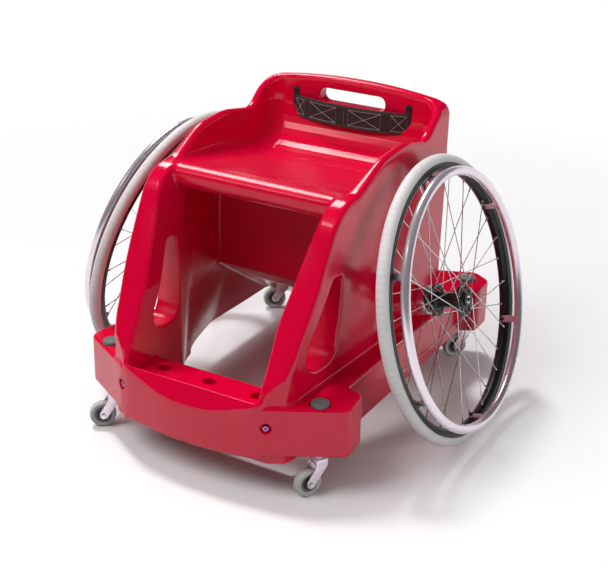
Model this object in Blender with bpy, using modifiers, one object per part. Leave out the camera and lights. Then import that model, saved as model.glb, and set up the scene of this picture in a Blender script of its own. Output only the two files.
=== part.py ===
"""Sports wheelchair with a moulded bucket seat, cambered drive wheels and four castors, in metres.

+Z is up, the chair faces -Y and stands on z = 0. Sizes along Y are counted from the wheel axles, and the
empty that carries the whole chair stands AXLE_Y behind the middle of its length.
"""

import math

import bmesh
import bpy
import numpy as np
from mathutils import Matrix, Vector

GAP = 0.0003
AXLE_Y = 0.0458
CAMBER = math.radians(14.4)

# Moulded body: widths are half widths, because the body is the same on both sides.
PANEL_X = 0.218
RAIL_X = 0.256
RING_BOTTOM, RING_TOP = 0.086, 0.190
FRONT_Y = -0.460
BUMPER_X, BUMPER_BOTTOM, BUMPER_PROUD = 0.153, 0.077, 0.0012
RIM_TOP = 0.196
STRUT_X = 0.150
SEAT_WALL_X = 0.185
WALL = 0.006
BACK_FRONT_Y, BACK_REAR_Y, BACK_TOP = 0.185, 0.217, 0.641
SLOT_X, SLOT_LOW, SLOT_HIGH = 0.079, 0.5895, 0.6215
TRAY_HOLES_X, TRAY_HOLE_Y, TRAY_HOLE_R = (-0.110, 0.0, 0.110), -0.370, 0.0135
EAR_FRONT = (0.2435, -0.365)
EAR_REAR = (0.243, 0.322)

# Drive wheel, in its own frame: Z is the axle and points away from the chair, X points down.
WHEEL_X = 0.338
TYRE_RING_R, TYRE_R = 0.283, 0.0125
WHEEL_Z = TYRE_RING_R * math.cos(CAMBER) + TYRE_R
RIM_OUT_R, RIM_IN_R, RIM_HALF = 0.2762, 0.259, 0.0125
HANDRIM_RING_R, HANDRIM_R, HANDRIM_OFFSET = 0.2595, 0.0095, 0.036
WHEEL_STEPS = 36
RIM_FLAT_R = RIM_IN_R * math.cos(math.pi / WHEEL_STEPS)
SPOKE_R = 0.0012
SPOKES_PER_FLANGE = 16
FLANGE_R, FLANGE_HALF, FLANGE_AT = 0.0345, 0.0016, 0.030
SPOKE_CIRCLE_R = 0.0305
BARREL_R = 0.015
BEARING_R, BEARING_LONG = 0.012, 0.006
AXLE_R = 0.006
HUB_END = 0.0345

# Axle tube and its cambered receivers, along the same axle line.
TUBE_R, TUBE_BORE_R = 0.011, 0.008
RECEIVER_R, RECEIVER_OUT, RECEIVER_IN = 0.030, -0.045, -0.065
PLUG_R, PLUG_END = 0.0135, -0.130
BOSS_R, BOSS_BASE_R = 0.032, 0.046

# Castors, in their own frame: Z is the swivel axis and X points to the wheel.
CASTOR_R, CASTOR_HALF, CASTOR_TRAIL = 0.0275, 0.009, 0.024
CASTOR_BOLT_R = 0.003
STEM_R, STEM_TOP = 0.005, 0.157
SLEEVE_R, SLEEVE_BORE_R, SLEEVE_LOW, SLEEVE_TOP = 0.0130, 0.0113, 0.084, 0.160
CROWN_LOW, CROWN_TOP = 0.066, 0.078
CASTORS = {
    "front_left": (-1, EAR_FRONT, -138.0),
    "front_right": (1, EAR_FRONT, -120.0),
    "rear_left": (-1, EAR_REAR, -142.0),
    "rear_right": (1, EAR_REAR, -131.0),
}

# Strap on the back.
STRAP_X, STRAP_LOW, STRAP_HIGH = 0.140, 0.550, 0.597
STRAP_BOW, STRAP_THICK = 0.025, 0.0024

SIDE = Matrix(((0, 0, 1, 0), (1, 0, 0, 0), (0, 1, 0, 0), (0, 0, 0, 1)))
FRONT = Matrix(((1, 0, 0, 0), (0, 0, -1, 0), (0, 1, 0, 0), (0, 0, 0, 1)))


def collection(name):
    group = bpy.data.collections.new(name)
    bpy.context.scene.collection.children.link(group)
    return group


for leftover in list(bpy.data.objects):
    bpy.data.objects.remove(leftover)
PARTS = collection("sports_wheelchair")
CUTTERS = collection("cutters")
CUTTERS.hide_render = True


def finish(name, colour, roughness, metallic=0.0):
    material = bpy.data.materials.new(name)
    material.use_nodes = True
    shader = material.node_tree.nodes["Principled BSDF"]
    shader.inputs["Base Color"].default_value = (*colour, 1.0)
    shader.inputs["Roughness"].default_value = roughness
    shader.inputs["Metallic"].default_value = metallic
    return material


RED = finish("moulded_red", (0.60, 0.004, 0.035), 0.25)
BLACK = finish("black_anodised", (0.020, 0.024, 0.023), 0.35, 0.4)
STEEL = finish("bright_steel", (0.75, 0.75, 0.77), 0.25, 1.0)
ALUMINIUM = finish("polished_aluminium", (0.80, 0.78, 0.84), 0.18, 1.0)
PALE_RUBBER = finish("pale_rubber", (0.52, 0.53, 0.50), 0.65)
GREY_PLASTIC = finish("grey_plastic", (0.16, 0.17, 0.18), 0.5)
WEBBING = finish("dark_webbing", (0.03, 0.045, 0.042), 0.8)
BOLT_VIOLET = finish("violet_bolt", (0.35, 0.10, 0.30), 0.3, 1.0)


def empty(name, parent, matrix):
    frame = bpy.data.objects.new(name, None)
    PARTS.objects.link(frame)
    frame.parent = parent
    frame.matrix_basis = matrix
    return frame


def place(piece, parent, matrix, material, group):
    group.objects.link(piece)
    piece.parent = parent
    piece.matrix_basis = matrix
    if group is CUTTERS:
        piece.hide_render = True
        piece.display_type = "WIRE"
    if material:
        piece.data.materials.append(material)
    return piece


def turned(name, profile, parent, material, steps=24, ring=False, matrix=Matrix(), group=PARTS):
    """A profile of (radius, height) turned about local Z, listed down the outer side. A ring is closed."""
    mesh = bpy.data.meshes.new(name)
    count = len(profile)
    edges = [(i, i + 1) for i in range(count - 1)] + ([(count - 1, 0)] if ring else [])
    mesh.from_pydata([(radius, 0, height) for radius, height in profile], edges, [])
    piece = place(bpy.data.objects.new(name, mesh), parent, matrix, material, group)
    turn = piece.modifiers.new("Turn", "SCREW")
    turn.steps = turn.render_steps = steps
    turn.use_merge_vertices = True
    turn.merge_threshold = 0.00001
    return piece


def meshed(curve_object, parent, matrix, material, group):
    """The curve as a mesh object with welded caps, because Boolean and Bevel need a mesh."""
    bpy.context.scene.collection.objects.link(curve_object)
    graph = bpy.context.evaluated_depsgraph_get()
    mesh = bpy.data.meshes.new_from_object(curve_object.evaluated_get(graph))
    name = curve_object.name
    bpy.data.objects.remove(curve_object)
    mesh.materials.clear()
    work = bmesh.new()
    work.from_mesh(mesh)
    bmesh.ops.remove_doubles(work, verts=work.verts, dist=0.000001)
    bmesh.ops.dissolve_limit(work, angle_limit=0.002, verts=work.verts, edges=work.edges)
    work.to_mesh(mesh)
    work.free()
    mesh.name = name
    return place(bpy.data.objects.new(name, mesh), parent, matrix, material, group)


def flat(name, outlines, low, high, parent, material=None, turn=Matrix(), group=PARTS):
    """Closed outlines, the later ones holes in the first, extruded from low to high along local Z of turn."""
    curve = bpy.data.curves.new(name, "CURVE")
    curve.dimensions = "2D"
    curve.fill_mode = "BOTH"
    curve.extrude = (high - low) / 2
    for outline in outlines:
        spline = curve.splines.new("POLY")
        spline.points.add(len(outline) - 1)
        for point, (across, up) in zip(spline.points, outline):
            point.co = (across, up, 0, 1)
        spline.use_cyclic_u = True
    matrix = turn @ Matrix.Translation((0, 0, (high + low) / 2))
    return meshed(bpy.data.objects.new(name, curve), parent, matrix, material, group)


def loft(name, sections, parent, group=CUTTERS):
    """Sections with the same number of points, joined in order and closed at both ends."""
    work = bmesh.new()
    rings = [[work.verts.new(point) for point in section] for section in sections]
    for first, second in zip(rings, rings[1:]):
        for i in range(len(first)):
            j = (i + 1) % len(first)
            work.faces.new((first[i], first[j], second[j], second[i]))
    work.faces.new(rings[0][::-1])
    work.faces.new(rings[-1])
    bmesh.ops.recalc_face_normals(work, faces=work.faces)
    bmesh.ops.triangulate(work, faces=work.faces)
    mesh = bpy.data.meshes.new(name)
    work.to_mesh(mesh)
    work.free()
    return place(bpy.data.objects.new(name, mesh), parent, Matrix(), None, group)


def soften(piece, width, segments=2):
    """Rounds the edges where the flat sides meet the outline's own wall."""
    rim = piece.modifiers.new("Rounded rim", "BEVEL")
    rim.width = width
    rim.segments = segments
    rim.limit_method = "ANGLE"
    rim.angle_limit = math.radians(50)
    rim.use_clamp_overlap = False
    return piece


def combine(piece, other, operation):
    step = piece.modifiers.new(operation.title() + " " + other.name, "BOOLEAN")
    step.operation = operation
    step.solver = "EXACT"
    step.object = other
    return piece


def rounded(corners, steps=4):
    """A closed outline through (across, up, radius) corners, each radius an arc with this many steps."""
    outline = []
    count = len(corners)
    for i, (across, up, radius) in enumerate(corners):
        corner = Vector((across, up))
        back = (Vector(corners[i - 1][:2]) - corner).normalized()
        ahead = (Vector(corners[(i + 1) % count][:2]) - corner).normalized()
        if radius == 0:
            outline.append(tuple(corner))
            continue
        half = back.angle(ahead) / 2
        start = corner + back * radius / math.tan(half)
        centre = corner + (back + ahead).normalized() * radius / math.sin(half)
        arm = start - centre
        sweep = back.angle_signed(ahead)
        sweep = math.copysign(math.pi - abs(sweep), sweep)
        for k in range(steps + 1):
            turned_arm = Matrix.Rotation(sweep * k / steps, 2) @ arm
            outline.append(tuple(centre + turned_arm))
    return outline


def mirrored(half):
    """The corners of the +X side, listed from front to rear, closed with their mirror images."""
    return half + [(-across, up, radius) for across, up, radius in reversed(half)]


def circle(radius, steps, centre=(0.0, 0.0), phase=0.0):
    angles = phase + np.arange(steps) * 2 * math.pi / steps
    return [(centre[0] + radius * math.cos(a), centre[1] + radius * math.sin(a)) for a in angles]


def ring_profile(radius, thickness, steps, phase=0.0):
    """The round section of a tyre or a rim tube, running down its outer side."""
    return [(radius + r, z) for r, z in reversed(circle(thickness, steps, phase=-phase))]


def plan_sections(levels, stations):
    """Plan sections, mirrored about the middle: the half width at each station along Y, for each height."""
    sections = []
    for z, widths in levels.items():
        right = [(x, y, z) for x, y in zip(widths, stations)]
        sections.append(right + [(-x, y, z) for x, y, _ in reversed(right)])
    return sections


def build_body(chair):
    """One moulding, made from outlines of the side, the plan and the front that are joined and cut."""
    side = rounded([
        (-0.430, 0.100, 0), (-0.430, 0.217, 0.060), (-0.3475, 0.375, 0), (-0.2614, 0.537, 0.090),
        (-0.186, 0.546, 0.060), (-0.090, 0.588, 0.120), (0.005, 0.5945, 0.200), (0.108, 0.575, 0.045),
        (0.184, BACK_TOP, 0.020), (BACK_REAR_Y, BACK_TOP, 0.014), (0.207, 0.100, 0),
    ])
    body = flat("body_shell", [side], -PANEL_X, PANEL_X, chair, RED, SIDE)
    soften(body, 0.011)

    corner_outline = rounded([
        (-PANEL_X - 0.01, 0.05, 0), (PANEL_X + 0.01, 0.05, 0), (PANEL_X + 0.01, 0.500, 0),
        (PANEL_X, 0.510, 0), (PANEL_X, BACK_TOP + 0.0005, 0.033), (-PANEL_X, BACK_TOP + 0.0005, 0.033),
        (-PANEL_X, 0.510, 0), (-PANEL_X - 0.01, 0.500, 0),
    ])
    corners = flat("back_corners", [corner_outline], -0.3, 0.6, chair, None, FRONT, CUTTERS)
    combine(body, corners, "INTERSECT")

    stations = (-0.60, -0.436, -0.422, -0.395, -0.31, -0.21, -0.098, 0.40)
    levels = {
        0.0: (0.172, 0.174, 0.188, 0.202, 0.206, 0.2125, 0.2185, 0.2185),
        0.20: (0.172, 0.174, 0.188, 0.202, 0.206, 0.2125, 0.2185, 0.2185),
        0.30: (0.195, 0.197, 0.201, 0.206, 0.2125, 0.216, 0.2185, 0.2185),
        0.40: (0.215, 0.2155, 0.216, 0.2165, 0.2175, 0.2180, 0.2185, 0.2185),
        0.70: (0.2185,) * 8,
    }
    combine(body, loft("panel_taper", plan_sections(levels, stations), chair), "INTERSECT")

    ring_half = [
        (0.050, FRONT_Y, 0.400), (0.158, -0.4405, 0.120), (0.3035, -0.3565, 0.022), (0.295, -0.288, 0.022),
        (RAIL_X, -0.275, 0.016), (RAIL_X, 0.266, 0.016), (0.288, 0.276, 0.020), (0.286, 0.345, 0.026),
        (0.242, 0.3735, 0.030), (0.150, 0.334, 0.060), (0.120, 0.322, 0.050),
    ]
    outline = rounded(mirrored(ring_half), 3)
    ring = flat("base_ring", [outline], RING_BOTTOM, RING_TOP, chair, None, Matrix(), CUTTERS)
    soften(ring, 0.006, 1)
    combine(body, ring, "UNION")

    proud = rounded(mirrored([(x, y - BUMPER_PROUD, radius) for x, y, radius in ring_half]), 3)
    bumper = flat("bumper", [proud], BUMPER_BOTTOM, RIM_TOP, chair, None, Matrix(), CUTTERS)
    middle_outline = [(-BUMPER_X, -0.6), (BUMPER_X, -0.6), (BUMPER_X, -0.345), (-BUMPER_X, -0.345)]
    middle = flat("bumper_middle", [middle_outline], 0.0, 0.5, chair, None, Matrix(), CUTTERS)
    combine(bumper, middle, "INTERSECT")
    combine(body, bumper, "UNION")

    for sign, label in ((-1, "left"), (1, "right")):
        boss_profile = [(0, RECEIVER_IN - GAP), (BOSS_R - 0.004, RECEIVER_IN - GAP), (BOSS_R, -0.070),
                        (0.0335, -0.085), (BOSS_BASE_R, -0.122), (BOSS_BASE_R, -0.145), (0, -0.145)]
        axle_line = wheel_matrix(sign)
        boss = turned("boss_" + label, boss_profile, chair, None, 20, matrix=axle_line, group=CUTTERS)
        combine(body, boss, "UNION")

    bucket_side = rounded([
        (-0.7, 0.8, 0), (-0.7, 0.548, 0), (-0.2295, 0.548, 0), (BACK_FRONT_Y, 0.4665, 0.064),
        (BACK_FRONT_Y, 0.8, 0),
    ], 5)
    bucket = flat("bucket", [bucket_side], -0.3, 0.3, chair, None, SIDE, CUTTERS)
    bucket_front = rounded([
        (-0.203, 0.8, 0), (-0.172, 0.45, 0), (0.172, 0.45, 0), (0.203, 0.8, 0),
    ])
    bucket_width = flat("bucket_width", [bucket_front], -0.3, 0.8, chair, None, FRONT, CUTTERS)
    combine(bucket, bucket_width, "INTERSECT")
    combine(body, bucket, "DIFFERENCE")

    legs_side = rounded([
        (-0.7, 0.8, 0), (-0.7, RIM_TOP + 0.001, 0), (-0.437, RIM_TOP + 0.001, 0), (-0.428, 0.174, 0.006),
        (-0.334, 0.172, 0.010), (-0.334, -0.1, 0), (0.245, -0.1, 0), (0.245, 0.085, 0.008),
        (-0.060, 0.272, 0.012), (-0.056, 0.493, 0.035), (-0.2295, 0.495, 0.021), (-0.2295, 0.5483, 0.023),
        (-0.050, 0.5131, 0), (-0.050, 0.8, 0),
    ])
    legs = flat("leg_space", [legs_side], -0.3, 0.3, chair, None, SIDE, CUTTERS)
    stations = (-0.70, -0.25, -0.17, -0.087, 0.0, 0.155, 0.26)
    levels = {
        -0.2: (0.150, 0.150, 0.2025, 0.2255, 0.247, 0.243, 0.243),
        0.085: (0.150, 0.150, 0.2025, 0.2255, 0.247, 0.243, 0.243),
        0.270: (0.150, 0.150) + (SEAT_WALL_X,) * 5,
        0.330: (0.150, 0.150) + (SEAT_WALL_X,) * 5,
        0.490: (0.175, 0.175) + (SEAT_WALL_X,) * 5,
        0.560: (0.1817, 0.1817) + (SEAT_WALL_X,) * 5,
        0.900: (0.2118, 0.2118, 0.2118) + (SEAT_WALL_X,) * 4,
    }
    legs_width = loft("leg_space_width", plan_sections(levels, stations), chair)
    combine(legs, legs_width, "INTERSECT")
    combine(body, legs, "DIFFERENCE")

    hollow_side = rounded([(-0.050, 0.279, 0.010), (-0.050, 0.481, 0.010), (0.130, 0.450, 0.060),
                           (0.200, 0.430, 0.015), (0.200, 0.127, 0.010)], 2)
    hollow_x = SEAT_WALL_X - WALL
    hollow = flat("seat_box_hollow", [hollow_side], -hollow_x, hollow_x, chair, None, SIDE, CUTTERS)
    combine(body, hollow, "DIFFERENCE")

    scoop_outline = [(-0.4355, 0.2004), (-0.50, 0.094), (-0.6, 0.094), (-0.6, 0.3), (-0.4355, 0.3)]
    scoop = flat("scoop", [scoop_outline], -0.35, 0.35, chair, None, SIDE, CUTTERS)
    combine(body, scoop, "DIFFERENCE")

    outer_leaf = rounded([(-0.276, 0.405, 0.020), (-0.230, 0.400, 0.016), (-0.226, 0.335, 0.080),
                          (-0.236, 0.227, 0.032), (-0.3935, 0.227, 0.047)], 3)
    inner_leaf = rounded([(-0.281, 0.403, 0.008), (-0.258, 0.402, 0.007), (-0.256, 0.335, 0.080),
                          (-0.2565, 0.229, 0.030), (-0.365, 0.229, 0.033)], 3)
    for sign, label in ((-1, "left"), (1, "right")):
        sections = [[(sign * x, y, z) for y, z in outline] for x, outline in (
            (STRUT_X - 0.03, inner_leaf), (STRUT_X, inner_leaf),
            (0.2125, outer_leaf), (0.240, outer_leaf))]
        combine(body, loft("leaf_" + label, sections, chair), "DIFFERENCE")

    slot_outline = rounded([(-SLOT_X, SLOT_LOW, 0.014), (SLOT_X, SLOT_LOW, 0.014),
                            (SLOT_X, SLOT_HIGH, 0.014), (-SLOT_X, SLOT_HIGH, 0.014)], 3)
    combine(body, flat("handle_slot", [slot_outline], -0.3, -0.1, chair, None, FRONT, CUTTERS), "DIFFERENCE")

    for i, x in enumerate(TRAY_HOLES_X):
        hole = [circle(TRAY_HOLE_R, 16, (x, TRAY_HOLE_Y))]
        combine(body, flat(f"tray_hole_{i}", hole, 0.05, 0.25, chair, None, Matrix(), CUTTERS), "DIFFERENCE")
    return body


def wheel_matrix(sign):
    """The drive wheel's frame: Z out along the cambered axle, X down in the wheel's plane."""
    out = Vector((sign * math.cos(CAMBER), 0, math.sin(CAMBER)))
    down = Vector((sign * math.sin(CAMBER), 0, -math.cos(CAMBER)))
    matrix = Matrix((down, out.cross(down), out)).transposed().to_4x4()
    matrix.translation = (sign * WHEEL_X, 0, WHEEL_Z)
    return matrix


chair = empty("chair", None, Matrix.Translation((0, AXLE_Y, 0)))
body = build_body(chair)


def build_front_bolts(chair):
    """Two bolts, each in a round recess in the front of the bumper, square to its bowed face."""
    for sign, label in ((-1, "left"), (1, "right")):
        out = Vector((sign * 0.447, -0.894, 0))
        up = Vector((0, 0, 1))
        matrix = Matrix((up, out.cross(up), out)).transposed().to_4x4()
        matrix.translation = (sign * 0.168, -0.437, 0.147)
        hole = [(0, 0.03), (0.0105, 0.03), (0.0105, -0.009), (0.0043, -0.009), (0.0043, -0.036), (0, -0.036)]
        recess = turned("bolt_recess_" + label, hole, chair, None, 16, matrix=matrix, group=CUTTERS)
        combine(bpy.data.objects["body_shell"], recess, "DIFFERENCE")
        head = [(0, -0.0040), (0.0055, -0.0045), (0.0070, -0.0060), (0.0070, -0.0087), (0.0040, -0.0087),
                (0.0040, -0.0340), (0, -0.0340)]
        turned("front_bolt_" + label, head, chair, BOLT_VIOLET, 12, matrix=matrix)


def build_castor(chair, label, sign, spot, trail_angle):
    """A swivel castor: sleeve, bearing, cap, fork with its stem, hub, tyre and axle bolt."""
    corner = Matrix.Translation((sign * spot[0], spot[1], 0))
    bore = [(0, 0.250), (0.0163, 0.250), (0.0163, 0.1885), (SLEEVE_R + GAP, 0.1885),
            (SLEEVE_R + GAP, 0.05), (0, 0.05)]
    cutter = turned("ear_bore_" + label, bore, chair, None, 16, matrix=corner, group=CUTTERS)
    combine(bpy.data.objects["body_shell"], cutter, "DIFFERENCE")
    cap = [(0, 0.1980), (0.0140, 0.1980), (0.0160, 0.1960), (0.0160, 0.1888), (0.0125, 0.1888),
           (0.0125, 0.180), (0, 0.180)]
    turned("castor_cap_" + label, cap, chair, GREY_PLASTIC, 16, matrix=corner)
    sleeve = [(SLEEVE_BORE_R, SLEEVE_TOP), (SLEEVE_R, SLEEVE_TOP), (SLEEVE_R, RING_BOTTOM - GAP),
              (0.0165, RING_BOTTOM - GAP), (0.0165, SLEEVE_LOW), (SLEEVE_BORE_R, SLEEVE_LOW)]
    turned("castor_sleeve_" + label, sleeve, chair, STEEL, 16, ring=True, matrix=corner)
    bearing = [(STEM_R + GAP, 0.0940), (SLEEVE_BORE_R - GAP, 0.0940),
               (SLEEVE_BORE_R - GAP, 0.0850), (STEM_R + GAP, 0.0850)]
    turned("castor_bearing_" + label, bearing, chair, STEEL, 12, ring=True, matrix=corner)

    trail = Matrix.Rotation(math.radians(trail_angle), 4, "Z")
    swivel = empty("castor_frame_" + label, chair, corner @ trail)
    crown_outline = [(-0.0122, -0.0142), (0.0122, -0.0142), (0.0122, 0.0142), (-0.0122, 0.0142)]
    crown = flat("castor_fork_" + label, [crown_outline], CROWN_LOW, CROWN_TOP, swivel, ALUMINIUM)
    leg = rounded([(-0.0125, CROWN_TOP - 0.0005, 0.001), (-0.0125, 0.063, 0.010), (0.0155, 0.0185, 0.0075),
                   (0.0330, 0.0185, 0.0075), (0.0330, 0.0365, 0.0075), (0.0125, 0.063, 0.010),
                   (0.0125, CROWN_TOP - 0.0005, 0.001)], 2)
    eye = circle(CASTOR_BOLT_R + GAP, 8, (CASTOR_TRAIL, CASTOR_R))
    for side, low in (("a", 0.0115), ("b", -0.0145)):
        plate = flat(f"fork_leg_{side}_{label}", [leg, eye], low, low + 0.003, swivel, None, FRONT, CUTTERS)
        combine(crown, plate, "UNION")
    stem = [(0, STEM_TOP), (0.0085, STEM_TOP), (0.0085, STEM_TOP - 0.006), (STEM_R, STEM_TOP - 0.006),
            (STEM_R, 0.0700), (0, 0.0700)]
    combine(crown, turned("fork_stem_" + label, stem, swivel, None, 12, group=CUTTERS), "UNION")

    sideways = Matrix(((0, -1, 0, CASTOR_TRAIL), (0, 0, 1, 0), (-1, 0, 0, CASTOR_R), (0, 0, 0, 1)))
    axle = empty("castor_axle_" + label, swivel, sideways)
    half_tread = [(0.0178, 0.0076), (0.0245, CASTOR_HALF), (CASTOR_R, 0.0045)]
    tread = half_tread + [(r, -z) for r, z in reversed(half_tread)]
    turned("castor_tyre_" + label, tread, axle, PALE_RUBBER, 18, ring=True)
    half_hub = [(CASTOR_BOLT_R + GAP, 0.0098), (0.0070, 0.0098), (0.0070, 0.0066), (0.0175, 0.0070)]
    hub_profile = half_hub + [(r, -z) for r, z in reversed(half_hub)]
    turned("castor_hub_" + label, hub_profile, axle, GREY_PLASTIC, 14, ring=True)
    bolt = [(0, 0.0182), (0.0055, 0.0172), (0.0055, 0.0148), (CASTOR_BOLT_R, 0.0148),
            (CASTOR_BOLT_R, -0.0148), (0.0052, -0.0148), (0.0052, -0.0190), (0, -0.0190)]
    turned("castor_bolt_" + label, bolt, axle, STEEL, 8)


def spoke_fan(name, wheel, flange_side, turn_way, shift, material, group):
    """Eight spokes that leave one flange the same way round, three spoke places on from hub to rim."""
    pitch = 2 * math.pi / SPOKES_PER_FLANGE
    near = flange_side * (FLANGE_AT - FLANGE_HALF - SPOKE_R - 2 * GAP) + shift
    far = flange_side * 0.0035 + shift
    rim = RIM_FLAT_R - 0.0008
    work = bmesh.new()
    for k in range(0 if turn_way > 0 else 1, SPOKES_PER_FLANGE, 2):
        at_hub = (k + (0.5 if flange_side > 0 else 0.0)) * pitch
        at_rim = at_hub + turn_way * 3 * pitch
        start = Vector((SPOKE_CIRCLE_R * math.cos(at_hub), SPOKE_CIRCLE_R * math.sin(at_hub), near))
        end = Vector((rim * math.cos(at_rim), rim * math.sin(at_rim), far))
        along = end - start
        matrix = Matrix.Translation((start + end) / 2) @ along.to_track_quat("Z", "Y").to_matrix().to_4x4()
        bmesh.ops.create_cone(work, cap_ends=True, segments=3, radius1=SPOKE_R, radius2=SPOKE_R,
                              depth=along.length, matrix=matrix)
    mesh = bpy.data.meshes.new(name)
    work.to_mesh(mesh)
    work.free()
    return place(bpy.data.objects.new(name, mesh), wheel, Matrix(), material, group)


def build_drive_wheel(chair, label, sign):
    """Hub, bearings, spokes, rim, tyre, valve and handrim, all about the cambered axle."""
    wheel = empty("drive_wheel_frame_" + label, chair, wheel_matrix(sign))
    seat_at = HUB_END - BEARING_LONG - GAP
    half_hub = [(AXLE_R + GAP, seat_at), (BEARING_R + GAP, seat_at), (BEARING_R + GAP, HUB_END),
                (0.0165, HUB_END), (0.0180, FLANGE_AT + FLANGE_HALF),
                (FLANGE_R, FLANGE_AT + FLANGE_HALF), (FLANGE_R, FLANGE_AT - FLANGE_HALF),
                (0.0180, FLANGE_AT - FLANGE_HALF), (BARREL_R, 0.0240)]
    hub_profile = half_hub + [(r, -s) for r, s in reversed(half_hub)]
    hub = turned("wheel_hub_" + label, hub_profile, wheel, BLACK, 20, ring=True)
    slots = []
    for k in range(6):
        middle = (k + 0.5) * math.pi / 3
        arc = [middle - math.radians(18), middle + math.radians(18)]
        slots.append([(0.0275 * math.cos(a), 0.0275 * math.sin(a)) for a in arc]
                     + [(0.0215 * math.cos(a), 0.0215 * math.sin(a)) for a in reversed(arc)])
    combine(hub, flat("hub_slots_" + label, slots, -0.05, 0.05, wheel, None, Matrix(), CUTTERS), "DIFFERENCE")

    for end, name in ((1, "outer"), (-1, "inner")):
        far, near = end * (HUB_END - 0.0002), end * (HUB_END - BEARING_LONG)
        top, bottom = max(far, near), min(far, near)
        race = [(AXLE_R + GAP, top), (BEARING_R, top), (BEARING_R, bottom), (AXLE_R + GAP, bottom)]
        turned(f"hub_bearing_{name}_{label}", race, wheel, STEEL, 14, ring=True)

    for flange_side, name in ((1, "outer"), (-1, "inner")):
        fan = spoke_fan(f"spokes_{name}_{label}", wheel, flange_side, 1, 0.0, STEEL, PARTS)
        shift = flange_side * -0.0005
        back = spoke_fan(f"spokes_back_{name}_{label}", wheel, flange_side, -1, shift, None, CUTTERS)
        combine(fan, back, "UNION")

    half_rim = [(RIM_OUT_R, 0.0115), (RIM_OUT_R, -0.0115)]
    rim_inside = [(0.2690, -RIM_HALF), (0.2620, -0.0090), (RIM_IN_R, -0.0040)]
    rim_profile = half_rim + rim_inside + [(r, -s) for r, s in reversed(rim_inside)]
    turned("rim_" + label, rim_profile, wheel, BLACK, WHEEL_STEPS, ring=True)

    seat = math.acos((TYRE_RING_R - RIM_OUT_R - GAP) / TYRE_R)
    upper = np.linspace(math.pi - seat, -CAMBER, 5)
    angles = np.concatenate([upper, np.linspace(-CAMBER, seat - math.pi, 5)[1:]])
    tread = [(TYRE_RING_R + TYRE_R * math.cos(a), TYRE_R * math.sin(a)) for a in angles]
    turned("tyre_" + label, tread, wheel, PALE_RUBBER, WHEEL_STEPS, ring=True)

    offset = HANDRIM_OFFSET
    section = [(r, z + offset) for r, z in ring_profile(HANDRIM_RING_R, HANDRIM_R, 8)]
    handrim = turned("handrim_" + label, section, wheel, ALUMINIUM, WHEEL_STEPS, ring=True)
    tab = [(0.2570, 0.0130), (0.2690, 0.0130), (0.2690, 0.0160), (0.2620, 0.0160),
           (0.2620, offset - 0.004), (0.2570, offset - 0.004)]
    for k in range(6):
        a = math.radians(60 * k + 30)
        out, along = Vector((math.cos(a), math.sin(a), 0)), Vector((0, 0, 1))
        turn = Matrix((out, along, out.cross(along))).transposed().to_4x4()
        name = f"handrim_tab_{k}_{label}"
        combine(handrim, flat(name, [tab], -0.007, 0.007, wheel, None, turn, CUTTERS), "UNION")

    spot = math.radians(180 + 360 / 64)
    inward = Vector((-math.cos(spot), -math.sin(spot), 0))
    turn = Matrix((Vector((0, 0, 1)).cross(inward), Vector((0, 0, 1)), inward)).transposed().to_4x4()
    turn.translation = -inward * (RIM_FLAT_R - GAP)
    stem = [(0, 0.028), (0.0018, 0.028), (0.0026, 0.026), (0.0026, 0.012), (0.0036, 0.010),
            (0.0042, 0.0), (0, 0.0)]
    turned("valve_" + label, stem, wheel, BLACK, 10, matrix=turn)


def build_axle(chair, label, sign):
    """The quick-release axle with its button, and the cambered receiver that holds it."""
    body = bpy.data.objects["body_shell"]
    line = empty("axle_frame_" + label, chair, wheel_matrix(sign))
    head = HUB_END + 0.0005
    axle = [(0, 0.0300), (0.0046, 0.0300), (0.0046, 0.0400), (0.0080, 0.0400), (0.0086, 0.0385),
            (0.0130, 0.0380), (0.0130, head), (AXLE_R, head), (AXLE_R, -0.110), (0, -0.110)]
    turned("quick_release_axle_" + label, axle, line, STEEL, 16)
    button = [(0, 0.0430), (0.0034, 0.0425), (0.0042, 0.0415), (0.0042, 0.0345), (0, 0.0345)]
    turned("quick_release_button_" + label, button, line, BLACK, 12)
    receiver = [(0, -0.112), (AXLE_R + GAP, -0.112), (AXLE_R + GAP, -head), (0.0095, -head),
                (0.0105, RECEIVER_OUT + 0.001), (0.0285, RECEIVER_OUT), (RECEIVER_R, RECEIVER_OUT - 0.0015),
                (RECEIVER_R, RECEIVER_IN), (PLUG_R, RECEIVER_IN), (PLUG_R, PLUG_END), (0, PLUG_END)]
    turned("axle_receiver_" + label, receiver, line, STEEL, 20)
    bore = [(0, -0.05), (PLUG_R + GAP, -0.05), (PLUG_R + GAP, PLUG_END - GAP), (0, PLUG_END - GAP)]
    combine(body, turned("plug_bore_" + label, bore, line, None, 20, group=CUTTERS), "DIFFERENCE")


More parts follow.
